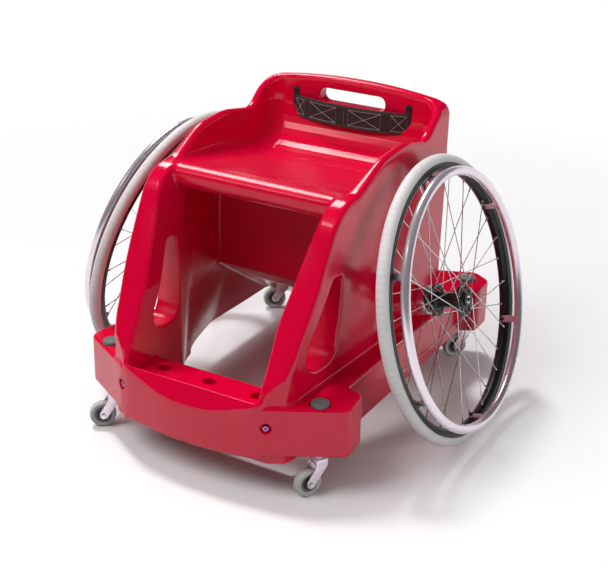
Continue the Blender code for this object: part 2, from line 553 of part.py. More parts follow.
def build_axle_tube(chair):
    """A straight tube across the seat box, its ends cut square to the two cambered axle lines."""
    end_x = WHEEL_X + (PLUG_END - GAP) * math.cos(CAMBER)
    height = WHEEL_Z + (PLUG_END - GAP) * math.sin(CAMBER)
    across = Matrix.Translation((0, 0, height)) @ Matrix.Rotation(math.pi / 2, 4, "Y")
    reach = end_x + 0.02
    wall = [(TUBE_BORE_R, reach), (TUBE_R, reach), (TUBE_R, -reach), (TUBE_BORE_R, -reach)]
    tube_piece = turned("axle_tube", wall, chair, STEEL, 20, ring=True, matrix=across)
    end = end_x + 0.003
    bore = [(0, end), (TUBE_R + GAP, end), (TUBE_R + GAP, -end), (0, -end)]
    cutter = turned("tube_bore", bore, chair, None, 20, matrix=across, group=CUTTERS)
    combine(bpy.data.objects["body_shell"], cutter, "DIFFERENCE")
    for sign, label in ((-1, "left"), (1, "right")):
        beyond = [(0, 0.1), (0.05, 0.1), (0.05, PLUG_END - GAP), (0, PLUG_END - GAP)]
        trim = turned("tube_end_" + label, beyond, chair, None, 16, matrix=wheel_matrix(sign), group=CUTTERS)
        combine(tube_piece, trim, "DIFFERENCE")


def build_strap(chair):
    """Webbing that bows forward between two bolted ends."""
    count = 16
    across = np.linspace(-STRAP_X, STRAP_X, count + 1)
    bow = STRAP_BOW * (1 - np.abs(across / STRAP_X) ** 2.4)
    front = [(x, BACK_FRONT_Y - GAP - STRAP_THICK - b) for x, b in zip(across, bow)]
    rear = [(x, BACK_FRONT_Y - GAP - b) for x, b in zip(across, bow)]
    strap = flat("back_strap", [front + rear[::-1]], STRAP_LOW, STRAP_HIGH, chair, WEBBING)
    for sign, label in ((-1, "left"), (1, "right")):
        x = sign * (STRAP_X - 0.003)
        spot = Matrix.Translation((x, BACK_FRONT_Y, STRAP_HIGH + 0.0125))
        matrix = spot @ Matrix.Rotation(math.pi / 2, 4, "X")
        hole = [(0, 0.05), (0.0035, 0.05), (0.0035, -0.022), (0, -0.022)]
        cutter = turned("strap_bolt_hole_" + label, hole, chair, None, 12, matrix=matrix, group=CUTTERS)
        combine(bpy.data.objects["body_shell"], cutter, "DIFFERENCE")
        tab = [(x - 0.007, STRAP_HIGH - 0.004), (x + 0.007, STRAP_HIGH - 0.004),
               (x + 0.007, STRAP_HIGH + 0.018), (x - 0.007, STRAP_HIGH + 0.018)]
        hole_ring = circle(0.0035, 12, (x, STRAP_HIGH + 0.0125))
        low = -BACK_FRONT_Y + GAP
        high = low + STRAP_THICK - 0.0002
        plate = flat("strap_tab_" + label, [tab, hole_ring], low, high, chair, None, FRONT, CUTTERS)
        combine(strap, plate, "UNION")
        bolt = [(0, 0.0062), (0.0040, 0.0056), (0.0058, 0.0040), (0.0058, 0.0031), (0.0032, 0.0031),
                (0.0032, -0.020), (0, -0.020)]
        turned("strap_bolt_" + label, bolt, chair, BLACK, 12, matrix=matrix)


build_front_bolts(chair)
for label, (sign, spot, trail_angle) in CASTORS.items():
    build_castor(chair, label, sign, spot, trail_angle)
for sign, label in ((-1, "left"), (1, "right")):
    build_drive_wheel(chair, label, sign)
    build_axle(chair, label, sign)
build_axle_tube(chair)
build_strap(chair)
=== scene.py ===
# %% [markdown]
# # Sports wheelchair
# This file dresses a sports wheelchair: a glossy moulded seat shell on a low base ring, two cambered
# drive wheels with handrims, and four small castors. Every size is in metres. +Z is up, the chair faces
# -Y and stands on z = 0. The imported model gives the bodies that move; each piece made here rides on one.

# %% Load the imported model
import math

import bmesh
import bpy
import numpy as np
from mathutils import Matrix, Vector


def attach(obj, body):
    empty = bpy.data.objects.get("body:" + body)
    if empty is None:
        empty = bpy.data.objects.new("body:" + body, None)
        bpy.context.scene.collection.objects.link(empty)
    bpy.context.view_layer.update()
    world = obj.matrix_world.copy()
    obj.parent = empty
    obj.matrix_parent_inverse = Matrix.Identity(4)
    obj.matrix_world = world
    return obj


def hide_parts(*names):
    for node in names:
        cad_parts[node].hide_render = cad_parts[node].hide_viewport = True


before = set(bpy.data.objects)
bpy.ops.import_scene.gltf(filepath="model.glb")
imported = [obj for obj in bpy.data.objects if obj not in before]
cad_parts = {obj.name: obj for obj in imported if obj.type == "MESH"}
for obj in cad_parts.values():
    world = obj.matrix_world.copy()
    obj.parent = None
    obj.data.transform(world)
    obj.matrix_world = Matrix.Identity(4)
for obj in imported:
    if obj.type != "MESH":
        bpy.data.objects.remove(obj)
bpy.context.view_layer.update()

# %% [markdown]
# ## Camera
# A long lens stands to the right of the chair's front and looks down on it. Its three axes are written
# as columns, because a matrix of axes says where a camera looks without any chain of angles. The shift is
# small: it only puts the chair where it stands in the picture.

# %% Objects and frames
def in_scene(name, data):
    """A new object with this data, linked to the scene."""
    thing = bpy.data.objects.new(name, data)
    bpy.context.scene.collection.objects.link(thing)
    return thing


def frame_of(across, up, out, at):
    """The 4 x 4 matrix of a frame with these three axes and this origin."""
    matrix = Matrix((across, up, out)).transposed().to_4x4()
    matrix.translation = at
    return matrix


# %% Camera
AXLE_Y = 0.0458
SENSOR = 36.0
PICTURE_WIDTH = 608
FOCAL_PIXELS = 1324.17
CAMERA_AT = (1.28372, -2.26885 + AXLE_Y, 1.39834)
CAMERA_RIGHT = (0.86390, 0.50333, 0.01812)
CAMERA_UP = (-0.21548, 0.33683, 0.91658)
CAMERA_BACK = (0.45524, -0.79574, 0.39945)

camera = in_scene("camera", bpy.data.cameras.new("camera"))
camera.matrix_world = frame_of(CAMERA_RIGHT, CAMERA_UP, CAMERA_BACK, CAMERA_AT)
camera.data.sensor_width = SENSOR
camera.data.lens = SENSOR * FOCAL_PIXELS / PICTURE_WIDTH
camera.data.shift_x = 0.0066
camera.data.shift_y = -0.0156
bpy.context.scene.camera = camera
bpy.context.scene.view_settings.view_transform = "Standard"
print("lens of", round(camera.data.lens, 1), "mm")

# %% [markdown]
# ## Shader maths
# A material's pattern is arithmetic on sockets. One small class wraps a socket, so that `1 - mask * 0.5`
# adds the Math nodes that it needs, and one method adds any other node.

# %% A socket that can be calculated with
class Signal:
    """A number that varies over a surface. Python's operators on it add Math nodes."""

    def __init__(self, tree, socket):
        self.tree = tree
        self.socket = socket

    def maths(self, operation, *values):
        node = self.tree.nodes.new("ShaderNodeMath")
        node.operation = operation
        for slot, value in zip(node.inputs, values):
            feed(self.tree, slot, value)
        return Signal(self.tree, node.outputs[0])

    def __add__(self, other):
        return self.maths("ADD", self, other)

    def __mul__(self, other):
        return self.maths("MULTIPLY", self, other)

    def __sub__(self, other):
        return self.maths("SUBTRACT", self, other)

    def __rsub__(self, other):
        return self.maths("SUBTRACT", other, self)

    __radd__ = __add__
    __rmul__ = __mul__

    def near(self, value, width):
        """1 where the number is within width of the value, else 0."""
        return self.maths("COMPARE", self, value, width)

    def wave(self):
        return self.maths("SINE", self)

    def ramp(self, low, high):
        """0 at low, 1 at high, straight in between, and clamped outside."""
        node = self.tree.nodes.new("ShaderNodeMapRange")
        for slot, value in zip(node.inputs, (self, low, high, 0.0, 1.0)):
            feed(self.tree, slot, value)
        return Signal(self.tree, node.outputs[0])


def feed(tree, slot, value):
    """Sets a socket to a number or colour, or links it to a signal."""
    if isinstance(value, Signal):
        tree.links.new(value.socket, slot)
    elif slot.type == "RGBA" and len(value) == 3:
        slot.default_value = (*value, 1.0)
    else:
        slot.default_value = value


# %% A material made of such signals
class Finish:
    """One procedural material. Its numbers that are the same all over are set on the shader's sockets."""

    def __init__(self, name, colour=(0.5, 0.5, 0.5), roughness=0.5, metallic=0.0, **more):
        self.material = bpy.data.materials.new(name)
        self.material.use_nodes = True
        self.tree = self.material.node_tree
        self.shader = self.tree.nodes["Principled BSDF"]
        self.set(Base_Color=colour, Roughness=roughness, Metallic=metallic, **more)

    def set(self, **values):
        for name, value in values.items():
            feed(self.tree, self.shader.inputs[name.replace("_", " ")], value)
        return self

    def add(self, kind, settings=None, output=0, **sockets):
        """Adds a node of this type, sets its settings and then its sockets, and returns one output."""
        node = self.tree.nodes.new("ShaderNode" + kind)
        for name, value in (settings or {}).items():
            setattr(node, name, value)
        for name, value in sockets.items():
            feed(self.tree, node.inputs[name.replace("_", " ")], value)
        return Signal(self.tree, node.outputs[output])

    def place(self):
        return self.add("TexCoord", output=3)

    def parts(self, vector):
        """The three numbers of a vector."""
        node = self.tree.nodes.new("ShaderNodeSeparateXYZ")
        feed(self.tree, node.inputs[0], vector)
        return [Signal(self.tree, socket) for socket in node.outputs]

    def noise(self, scale, detail=2.0, vector=None):
        return self.add("TexNoise", Vector=vector or self.place(), Scale=scale, Detail=detail)

    def blend(self, factor, first, second):
        """A colour between two others: the first where the factor is 0, the second where it is 1."""
        node = self.tree.nodes.new("ShaderNodeMix")
        node.data_type = "RGBA"
        for index, value in ((0, factor), (6, first), (7, second)):
            feed(self.tree, node.inputs[index], value)
        return Signal(self.tree, node.outputs[2])

    def relief(self, height, depth):
        """Small relief of this height pattern, its full depth in metres."""
        self.set(Normal=self.add("Bump", Distance=depth, Height=height))


# %% [markdown]
# ## Pieces from arrays
# Every piece is worked out as whole numpy arrays of points. A grid of points becomes quads, a profile is
# turned about an axis, and a section is swept along a path. `make` puts the arrays into a mesh, welds the
# seams, points the faces outwards and lets the piece ride on its body.

# %% Grids, turned profiles, swept tubes and slabs
def grid(points, close_rows=False, close_columns=False):
    """A grid of points, shape (rows, columns, 3), as a list of corners and quads."""
    rows, columns = points.shape[:2]
    row = np.arange(rows if close_rows else rows - 1)[:, None]
    column = np.arange(columns if close_columns else columns - 1)[None, :]
    next_row = (row + 1) % rows
    next_column = (column + 1) % columns
    corners = [row * columns + column, row * columns + next_column,
               next_row * columns + next_column, next_row * columns + column]
    return points.reshape(-1, 3), np.stack(np.broadcast_arrays(*corners), axis=-1).reshape(-1, 4).tolist()


def capped(rings):
    """A grid of closed rings with a face over each end, so that it is a solid."""
    points, faces = grid(rings, close_columns=True)
    count = rings.shape[1]
    last = len(points) - count
    return points, faces + [list(range(count)), list(range(last, last + count))]


def turned(profile, steps=48, ring=False):
    """A profile of (radius, height) points carried once round the Z axis, point = (r cos a, r sin a, h)."""
    profile = np.array(profile, float)
    angle = np.linspace(0, 2 * np.pi, steps, endpoint=False)[:, None]
    radius, height = profile[None, :, 0], profile[None, :, 1]
    points = np.stack(np.broadcast_arrays(radius * np.cos(angle), radius * np.sin(angle), height), axis=-1)
    return grid(points, close_rows=True, close_columns=ring)


def swept(path, radius, sides=8):
    """A closed round tube: circles of this radius, one at each point of the path and square to it."""
    path = np.array(path, float)
    along = np.gradient(path, axis=0)
    along /= np.linalg.norm(along, axis=1)[:, None]
    spare = np.where(np.abs(along[:1, 2:3]) < 0.8, [[0.0, 0.0, 1.0]], [[1.0, 0.0, 0.0]])
    first = np.cross(along, spare)
    first /= np.linalg.norm(first, axis=1)[:, None]
    second = np.cross(along, first)
    radius = np.broadcast_to(np.atleast_1d(radius), (len(path),))[:, None, None]
    angle = np.linspace(0, 2 * np.pi, sides, endpoint=False)[None, :, None]
    rings = path[:, None] + radius * (first[:, None] * np.cos(angle) + second[:, None] * np.sin(angle))
    return capped(rings)


def slab(outline, low, high, rounding=0.0005, steps=3):
    """A closed outline (x, y) from z = low to high. Its rims are rounded: each level is the outline moved
    inwards by rounding (1 - cos a) while z moves by rounding (1 - sin a)."""
    outline = np.array(outline, float)
    ahead = np.roll(outline, -1, axis=0) - outline
    side = np.stack([ahead[:, 1], -ahead[:, 0]], axis=1)
    side /= np.linalg.norm(side, axis=1)[:, None]
    area = np.sum(outline[:, 0] * np.roll(outline[:, 1], -1) - np.roll(outline[:, 0], -1) * outline[:, 1])
    outward = (side + np.roll(side, 1, axis=0)) * np.sign(area)
    outward /= np.maximum(np.sum(outward ** 2, axis=1)[:, None] / 2, 0.3)
    angle = np.linspace(0, np.pi / 2, steps + 1)
    inward = rounding * (1 - np.sin(angle))
    rise = rounding * (1 - np.cos(angle))
    inward = np.concatenate([inward, inward[::-1]])
    height = np.concatenate([low + rise, high - rise[::-1]])
    rings = outline[None] - outward[None] * inward[:, None, None]
    level = np.broadcast_to(height[:, None, None], rings.shape[:2] + (1,))
    return capped(np.concatenate([rings, level], axis=-1))


# %% Moving arrays and making the mesh
def moved(part, matrix):
    """The same part with its corners carried by a 4 x 4 matrix."""
    points, faces = part
    matrix = np.array(matrix)
    return points @ matrix[:3, :3].T + matrix[:3, 3], faces


def joined(parts):
    """Several parts as one list of corners and one list of faces."""
    start = np.cumsum([0] + [len(points) for points, _ in parts])
    faces = [[i + first for i in face] for (_, some), first in zip(parts, start) for face in some]
    return np.concatenate([points for points, _ in parts]), faces


def face_outwards(mesh, weld):
    """Turns a mesh's faces outwards, after welding its seams if weld is true."""
    work = bmesh.new()
    work.from_mesh(mesh)
    if weld:
        bmesh.ops.remove_doubles(work, verts=work.verts, dist=1e-6)
    bmesh.ops.recalc_face_normals(work, faces=work.faces)
    work.to_mesh(mesh)
    work.free()


def make(name, parts, finish, body, replaces=(), sharp=35, flat_map=None):
    """One piece: the parts' arrays in a mesh, seams welded, faces outwards, riding on its body."""
    points, faces = joined(parts) if isinstance(parts, list) else parts
    mesh = bpy.data.meshes.new(name)
    mesh.from_pydata(points, [], faces)
    if flat_map is not None:
        layer = mesh.uv_layers.new(name="UVMap")
        corner = np.empty(len(mesh.loops), int)
        mesh.loops.foreach_get("vertex_index", corner)
        layer.data.foreach_set("uv", flat_map[corner].ravel())
    face_outwards(mesh, True)
    mesh.shade_smooth()
    mesh.set_sharp_from_angle(angle=math.radians(sharp))
    mesh.materials.append(finish.material)
    piece = in_scene(name, mesh)
    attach(piece, body)
    if replaces:
        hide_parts(*replaces)
    return piece


# %% [markdown]
# ## Finishes
# The shell is coloured right through and comes glossy out of its mould: a deep crimson with a faint
# orange peel. It is duller on the seat, where clothes rub in long streaks, and in the hollow for the legs.
# Rims and hubs are black anodised, the handrims polished, and the tyres pale rubber.

# %% The moulded shell's gloss
gloss_red = Finish("moulded_gloss_red", (0.74, 0.0005, 0.040), 0.16, IOR=1.5)
cloudy = gloss_red.noise(9.0, 3.0).ramp(0.35, 0.7)
gloss_red.set(Base_Color=gloss_red.blend(cloudy, (0.77, 0.0005, 0.042), (0.71, 0.0005, 0.036)))
rubbed = gloss_red.noise(38.0, 4.0).ramp(0.52, 0.78)
aside, behind, height = gloss_red.parts(gloss_red.place())
aside = aside.maths("ABSOLUTE", aside)
sat_on = aside.ramp(0.185, 0.150) * behind.ramp(-0.20, -0.17) * behind.ramp(0.16, 0.11)
sat_on = sat_on * height.ramp(0.555, 0.530)
stretched = gloss_red.add("Mapping", Vector=gloss_red.place(), Scale=(9.0, 60.0, 60.0))
streaks = gloss_red.noise(1.0, 3.0, stretched) * 0.12 + 0.12
hollow = aside.ramp(0.20, 0.17) * behind.ramp(-0.30, -0.25) * behind.ramp(0.16, 0.10)
hollow = hollow * height.ramp(0.49, 0.46)
gloss_red.set(Roughness=rubbed * 0.06 + sat_on * streaks + hollow * 0.28 + 0.13)
gloss_red.relief(gloss_red.noise(240.0, 1.0), 0.00006)

# %% Metals
def metal(name, colour, roughness, grain=900.0, depth=0.000015):
    """A metal with fine irregular grain in its gloss and surface."""
    finish = Finish(name, colour, roughness, 1.0)
    fine = finish.noise(grain, 3.0)
    smudge = finish.noise(55.0, 2.0)
    finish.set(Roughness=fine * 0.10 + smudge * 0.08 + (roughness - 0.09))
    finish.relief(fine, depth)
    return finish


polished = Finish("polished_aluminium", (0.91, 0.82, 0.90), 0.26, 0.72)
polished.set(Roughness=polished.noise(30.0, 2.0) * 0.10 + 0.21)
steel = metal("bright_steel", (0.78, 0.77, 0.80), 0.24)
turned_steel = metal("turned_steel", (0.72, 0.72, 0.74), 0.28, 1500.0, 0.00003)
spoke_steel = metal("spoke_steel", (0.70, 0.69, 0.72), 0.26)
violet = metal("violet_anodised", (0.50, 0.16, 0.42), 0.25)

anodised = Finish("black_anodised", (0.030, 0.036, 0.034), 0.34, 0.55)
etched = anodised.noise(600.0, 3.0)
cloudy = anodised.noise(40.0).ramp(0.4, 0.7)
anodised.set(Base_Color=anodised.blend(cloudy, (0.026, 0.032, 0.030), (0.040, 0.046, 0.044)))
anodised.set(Roughness=etched * 0.16 + 0.26)
anodised.relief(etched, 0.00002)

# %% Rubber and plastics
def soft_plastic(name, colour, worn, roughness, grain=700.0, depth=0.00004):
    """Rubber or matt plastic: fine grain, and paler dust in patches."""
    finish = Finish(name, colour, roughness)
    dust = finish.noise(24.0, 4.0).ramp(0.45, 0.75)
    fine = finish.noise(grain, 2.0)
    finish.set(Base_Color=finish.blend(dust, colour, worn), Roughness=fine * 0.15 + (roughness - 0.07))
    finish.relief(fine, depth)
    return finish


castor_rubber = soft_plastic("castor_rubber", (0.50, 0.52, 0.50), (0.60, 0.61, 0.59), 0.50, 500.0, 0.00006)
cap_plastic = soft_plastic("cap_plastic", (0.14, 0.16, 0.155), (0.20, 0.22, 0.21), 0.42)
hub_plastic = soft_plastic("castor_hub_plastic", (0.17, 0.175, 0.18), (0.23, 0.235, 0.24), 0.45)
dark_plastic = soft_plastic("dark_plastic", (0.018, 0.020, 0.020), (0.035, 0.038, 0.038), 0.40)

# %% [markdown]
# ## The moulded shell
# The shell is one rotationally moulded piece: panels, seat, base ring and axle bosses flow into each
# other with soft fillets. A modeller could cut a block with Booleans and bevel it, but the bevels of such
# a cut never blend. Here the shell is written as a distance: for any point, how far it is outside
# (positive) or inside (negative) the solid. Two distances join or cut with a true round fillet by one
# formula. The skin is then found on a grid of cells, pushed onto the exact surface, and given the normals
# of the distance itself, so that gloss runs clean over it.

# %% Round joins and cuts of distances
def join(first, second, radius):
    """Both solids, with a fillet where they meet: max(r, min(a, b)) - length of (r - a, r - b) above 0."""
    rest = np.hypot(np.maximum(radius - first, 0), np.maximum(radius - second, 0))
    return np.maximum(radius, np.minimum(first, second)) - rest


def meet(first, second, radius):
    """The part that both solids share, its new edge rounded."""
    return -join(-first, -second, radius)


def cut(first, second, radius):
    """The first solid without the second, its new edge rounded."""
    return -join(-first, second, radius)


def smooth_step(value, low, high):
    """0 below low, 1 above high, and t * t * (3 - 2 t) between them."""
    t = np.clip((value - low) / (high - low), 0, 1)
    return t * t * (3 - 2 * t)


# %% Outlines with rounded corners, and tables that are looked up
def rounded(corners, steps=12):
    """A closed outline through (across, up, radius) corners, each radius an arc of this many steps."""
    outline = []
    before, after = corners[-1:] + corners[:-1], corners[1:] + corners[:1]
    for (px, py, _), (x, y, radius), (nx, ny, _) in zip(before, corners, after):
        corner = np.array([x, y])
        back = np.array([px - x, py - y])
        ahead = np.array([nx - x, ny - y])
        back = back / np.linalg.norm(back)
        ahead = ahead / np.linalg.norm(ahead)
        if radius == 0:
            outline.append(corner[None])
            continue
        half = np.arccos(np.clip(back @ ahead, -1, 1)) / 2
        middle = (back + ahead) / np.linalg.norm(back + ahead)
        centre = corner + middle * radius / np.sin(half)
        start = corner + back * radius / np.tan(half) - centre
        turn = np.pi - 2 * half
        turn *= -np.sign(back[0] * ahead[1] - back[1] * ahead[0])
        angle = turn * np.linspace(0, 1, steps + 1)[:, None]
        outline.append(centre + start * np.cos(angle) + np.array([-start[1], start[0]]) * np.sin(angle))
    return np.concatenate(outline)


class Table:
    """Values on a square grid of a plane, looked up between its points by straight proportion."""

    def __init__(self, values, low, step):
        self.values, self.low, self.step = values, low, step

    def __call__(self, across, up):
        a = np.clip((across - self.low[0]) / self.step, 0, self.values.shape[0] - 1.001)
        b = np.clip((up - self.low[1]) / self.step, 0, self.values.shape[1] - 1.001)
        i, j = a.astype(int), b.astype(int)
        a, b = a - i, b - j
        near = self.values[i, j] * (1 - b) + self.values[i, j + 1] * b
        far = self.values[i + 1, j] * (1 - b) + self.values[i + 1, j + 1] * b
        return near * (1 - a) + far * a


def outline_distance(corners, low, high, step=0.0015):
    """A table of the distance to a closed outline: to its nearest side, negative where an upward line
    from the point crosses the outline an odd number of times."""
    points = rounded(corners)
    across = np.arange(low[0], high[0] + step, step)[:, None]
    up = np.arange(low[1], high[1] + step, step)[None, :]
    nearest = np.full((across.size, up.size), 1e9)
    inside = np.zeros(nearest.shape, bool)
    for (ax, ay), (bx, by) in zip(points, np.roll(points, -1, axis=0)):
        dx, dy = bx - ax, by - ay
        t = np.clip(((across - ax) * dx + (up - ay) * dy) / (dx * dx + dy * dy + 1e-18), 0, 1)
        nearest = np.minimum(nearest, (across - ax - t * dx) ** 2 + (up - ay - t * dy) ** 2)
        if dx != 0:
            spans = (ax > across) != (bx > across)
            inside ^= spans & (up < ay + (across - ax) * dy / dx)
    return Table(np.where(inside, -1, 1) * np.sqrt(nearest), low, step)


def width_table(stations, levels, low, high, softness, step=0.003):
    """A table of half widths: straight between the stations along Y and the levels along Z, then softened
    by averaging with its neighbours this many times."""
    along = np.arange(low[0], high[0] + step, step)
    up = np.arange(low[1], high[1] + step, step)
    rows = np.array([np.interp(along, stations, widths) for widths in levels.values()])
    table = np.array([np.interp(up, list(levels), column) for column in rows.T])
    for _ in range(softness):
        wide = np.pad(table, 1, mode="edge")
        table = (wide[:-2, 1:-1] + wide[2:, 1:-1] + wide[1:-1, :-2] + wide[1:-1, 2:] + wide[1:-1, 1:-1]) / 5
    return Table(table, low, step)


# %% [markdown]
# The outlines below are the shell's drawings. Y counts from the axle line. The side view gives the
# guards, the knee and the back; the plan gives the base ring with its four ears; two more side views give
# the air that is taken away above the seat and around the legs.

# %% The shell's outlines
SIDE_LOW, SIDE_HIGH = (-0.54, 0.02), (0.44, 0.72)
side_view = outline_distance([
    (-0.430, 0.060, 0), (-0.430, 0.217, 0.060), (-0.3475, 0.375, 0.400), (-0.2614, 0.537, 0.090),
    (-0.186, 0.546, 0.060), (-0.090, 0.588, 0.120), (0.005, 0.5945, 0.200), (0.108, 0.575, 0.045),
    (0.184, 0.641, 0.020), (0.217, 0.641, 0.014), (0.207, 0.060, 0)], SIDE_LOW, SIDE_HIGH)
plan_right = [
    (0.050, -0.460, 0.400), (0.158, -0.4405, 0.120), (0.3035, -0.3565, 0.024), (0.295, -0.288, 0.022),
    (0.256, -0.275, 0.016), (0.256, 0.266, 0.016), (0.288, 0.276, 0.020), (0.286, 0.345, 0.026),
    (0.242, 0.3735, 0.030), (0.150, 0.334, 0.060), (0.120, 0.322, 0.050)]
plan_left = [(-x, y, radius) for x, y, radius in reversed(plan_right)]
plan_view = outline_distance(plan_right + plan_left, (-0.05, -0.52), (0.36, 0.44))
seat_air = outline_distance([
    (-0.9, 0.9, 0), (-0.9, 0.548, 0), (-0.2295, 0.548, 0), (0.185, 0.4665, 0.105), (0.185, 0.9, 0)],
    SIDE_LOW, SIDE_HIGH)
leg_air = outline_distance([
    (-0.9, 0.9, 0), (-0.9, 0.202, 0), (-0.4382, 0.202, 0), (-0.428, 0.174, 0.006),
    (-0.334, 0.172, 0.008), (-0.334, -0.2, 0), (0.245, -0.2, 0), (0.245, 0.085, 0.008),
    (-0.060, 0.272, 0.012), (-0.056, 0.493, 0.035), (-0.2295, 0.495, 0.021), (-0.2295, 0.5483, 0.023),
    (-0.050, 0.5131, 0), (-0.050, 0.9, 0)], SIDE_LOW, SIDE_HIGH)
leaf_outside = outline_distance([
    (-0.276, 0.405, 0.016), (-0.242, 0.401, 0.014), (-0.240, 0.335, 0.080), (-0.253, 0.227, 0.036),
    (-0.3935, 0.227, 0.047)], SIDE_LOW, SIDE_HIGH)
leaf_inside = outline_distance([
    (-0.277, 0.403, 0.010), (-0.250, 0.402, 0.009), (-0.251, 0.335, 0.080), (-0.2545, 0.229, 0.030),
    (-0.362, 0.229, 0.033)], SIDE_LOW, SIDE_HIGH)
slot_view = outline_distance([
    (-0.079, 0.5895, 0.015), (0.079, 0.5895, 0.015), (0.079, 0.6215, 0.015), (-0.079, 0.6215, 0.015)],
    (-0.3, 0.5), (0.3, 0.7))

# %% [markdown]
# Across, the shell is given by half widths: one column for each station along Y and one row for each
# level of Z. The panels are drawn in low down at the front, where the base ring runs round them. The
# hollow for the legs is as wide as the footplate in front, and widens under the seat, where it is open
# to the floor.

# %% How wide the shell is, inside and out
panel_width = width_table(
    (-0.60, -0.436, -0.422, -0.395, -0.31, -0.21, -0.098, 0.40),
    {0.20: (0.172, 0.180, 0.192, 0.202, 0.206, 0.2125, 0.2185, 0.2190),
     0.25: (0.180, 0.186, 0.194, 0.2045, 0.2090, 0.2145, 0.2187, 0.2192),
     0.30: (0.196, 0.198, 0.202, 0.2070, 0.2125, 0.2165, 0.2190, 0.2195),
     0.35: (0.208, 0.209, 0.210, 0.2120, 0.2155, 0.2180, 0.2192, 0.2197),
     0.40: (0.2165, 0.2165, 0.2165, 0.2168, 0.2175, 0.2187, 0.2195, 0.2198),
     0.50: (0.2190,) * 4 + (0.2192, 0.2195, 0.2198, 0.2200),
     0.70: (0.2200,) * 8}, SIDE_LOW, SIDE_HIGH, softness=10)
foot_width = width_table(
    (-0.200, -0.175),
    {0.330: (0.150, 0.150), 0.490: (0.175, 0.175), 0.505: (0.177, 0.115), 0.560: (0.1817, 0.115),
     0.900: (0.2118, 0.115)}, SIDE_LOW, SIDE_HIGH, softness=10)
knee_width = width_table(
    (-0.41, -0.25, -0.17, -0.087, 0.0, 0.155),
    {0.085: (0.045, 0.150, 0.2025, 0.2255, 0.247, 0.243),
     0.270: (0.080, 0.150) + (0.185,) * 4,
     0.490: (0.100, 0.150) + (0.185,) * 4,
     0.530: (0.100,) * 6}, SIDE_LOW, SIDE_HIGH, softness=40)

# %% [markdown]
# The drive wheels lean: their axles point up and outwards by the camber angle. Bosses, hubs and wheels
# all count their distance `s` along that axle, from the middle of the wheel outwards.

# %% The axle line
CAMBER = math.radians(14.4)
WHEEL_X = 0.338
TYRE_RING_R = 0.283
TYRE_R = 0.0125
WHEEL_Z = TYRE_RING_R * math.cos(CAMBER) + TYRE_R


def axle_frame(sign):
    """The wheel's own frame: Z out along the axle, X down in the plane of the wheel."""
    out = Vector((sign * math.cos(CAMBER), 0, math.sin(CAMBER)))
    down = Vector((sign * math.sin(CAMBER), 0, -math.cos(CAMBER)))
    return frame_of(down, out.cross(down), out, (sign * WHEEL_X, AXLE_Y, WHEEL_Z))


boss_view = outline_distance([
    (-0.1, -0.0653, 0), (0.0300, -0.0653, 0.004), (0.0330, -0.085, 0.02), (0.0450, -0.122, 0.01),
    (0.0450, -0.17, 0), (-0.1, -0.17, 0)], (-0.01, -0.25), (0.30, 0.15))

# %% Sizes of the shell
BACK_TOP, BACK_CORNER = 0.641, 0.038
CROWN, CROWN_HALF, CROWN_DIP = 0.010, 0.160, 0.006
CROWN_ALONG, CROWN_LEVELS = (0.11, 0.16), (0.585, 0.645)
PANEL_EDGE, PANEL_EDGE_MORE, PANEL_LEVELS = 0.0075, 0.003, (0.48, 0.54)
SKIRT_TOP, SKIRT_INSET = 0.300, 0.005
BASE_LOW, BASE_HIGH = 0.086, 0.190
BUMPER_LOW, BUMPER_TOP, BUMPER_X, BUMPER_BACK = 0.077, 0.24, 0.153, -0.34
BUMPER_BEVEL, BUMPER_BEVEL_SLOPE = 0.013, 0.8
SCOOP_AT, SCOOP_OUT, SCOOP_LOW = (-0.4355, 0.2004), (0.855, -0.518), 0.094
BASE_EDGE, BUMPER_EDGE, SCOOP_EDGE = 0.007, 0.006, 0.003
BASE_FILLET, BOSS_FILLET, LEGS_FILLET = 0.007, 0.012, 0.008
SEAT_HALF, SEAT_FLARE, FLARE_LEVELS = 0.175, 0.026, (0.46, 0.60)
SEAT_FILLET, SEAT_FILLET_MORE, SEAT_ALONG = 0.012, 0.024, (-0.18, 0.0)
MOUTH_EDGE, LOW_EDGE_MORE, LOW_LEVELS = 0.0035, 0.004, (0.205, 0.235)
TOP_EDGE_MORE, TOP_LEVELS = 0.0025, (0.46, 0.54)
LEAF_FROM_X, LEAF_INNER_X, LEAF_OUTER_X = 0.10, 0.150, 0.212
SLOT_FROM_Y = 0.1
LEAF_EDGE, SLOT_EDGE, HOLE_EDGE, RECESS_EDGE = 0.006, 0.004, 0.003, 0.0012
HOLES_X, HOLES_Y, HOLE_R, HOLE_TOP = (0.0, 0.110), -0.370, 0.0135, 0.25
EARS = ((0.2435, -0.365), (0.243, 0.322))
POCKET_R, POCKET_FLOOR = 0.0189, 0.182
BOLT_AT = (0.168, -0.437, 0.147)
BOLT_OUT = (0.447, -0.894)
RECESS_R, RECESS_DEEP = 0.0105, 0.010
print("base ring", round(1000 * (BASE_HIGH - BASE_LOW)), "mm high")

# %% [markdown]
# The distance is put together in three steps: what is solid, the large air that is cut from it, and the
# small openings. Every join and cut has the fillet that the real moulding has at that place.

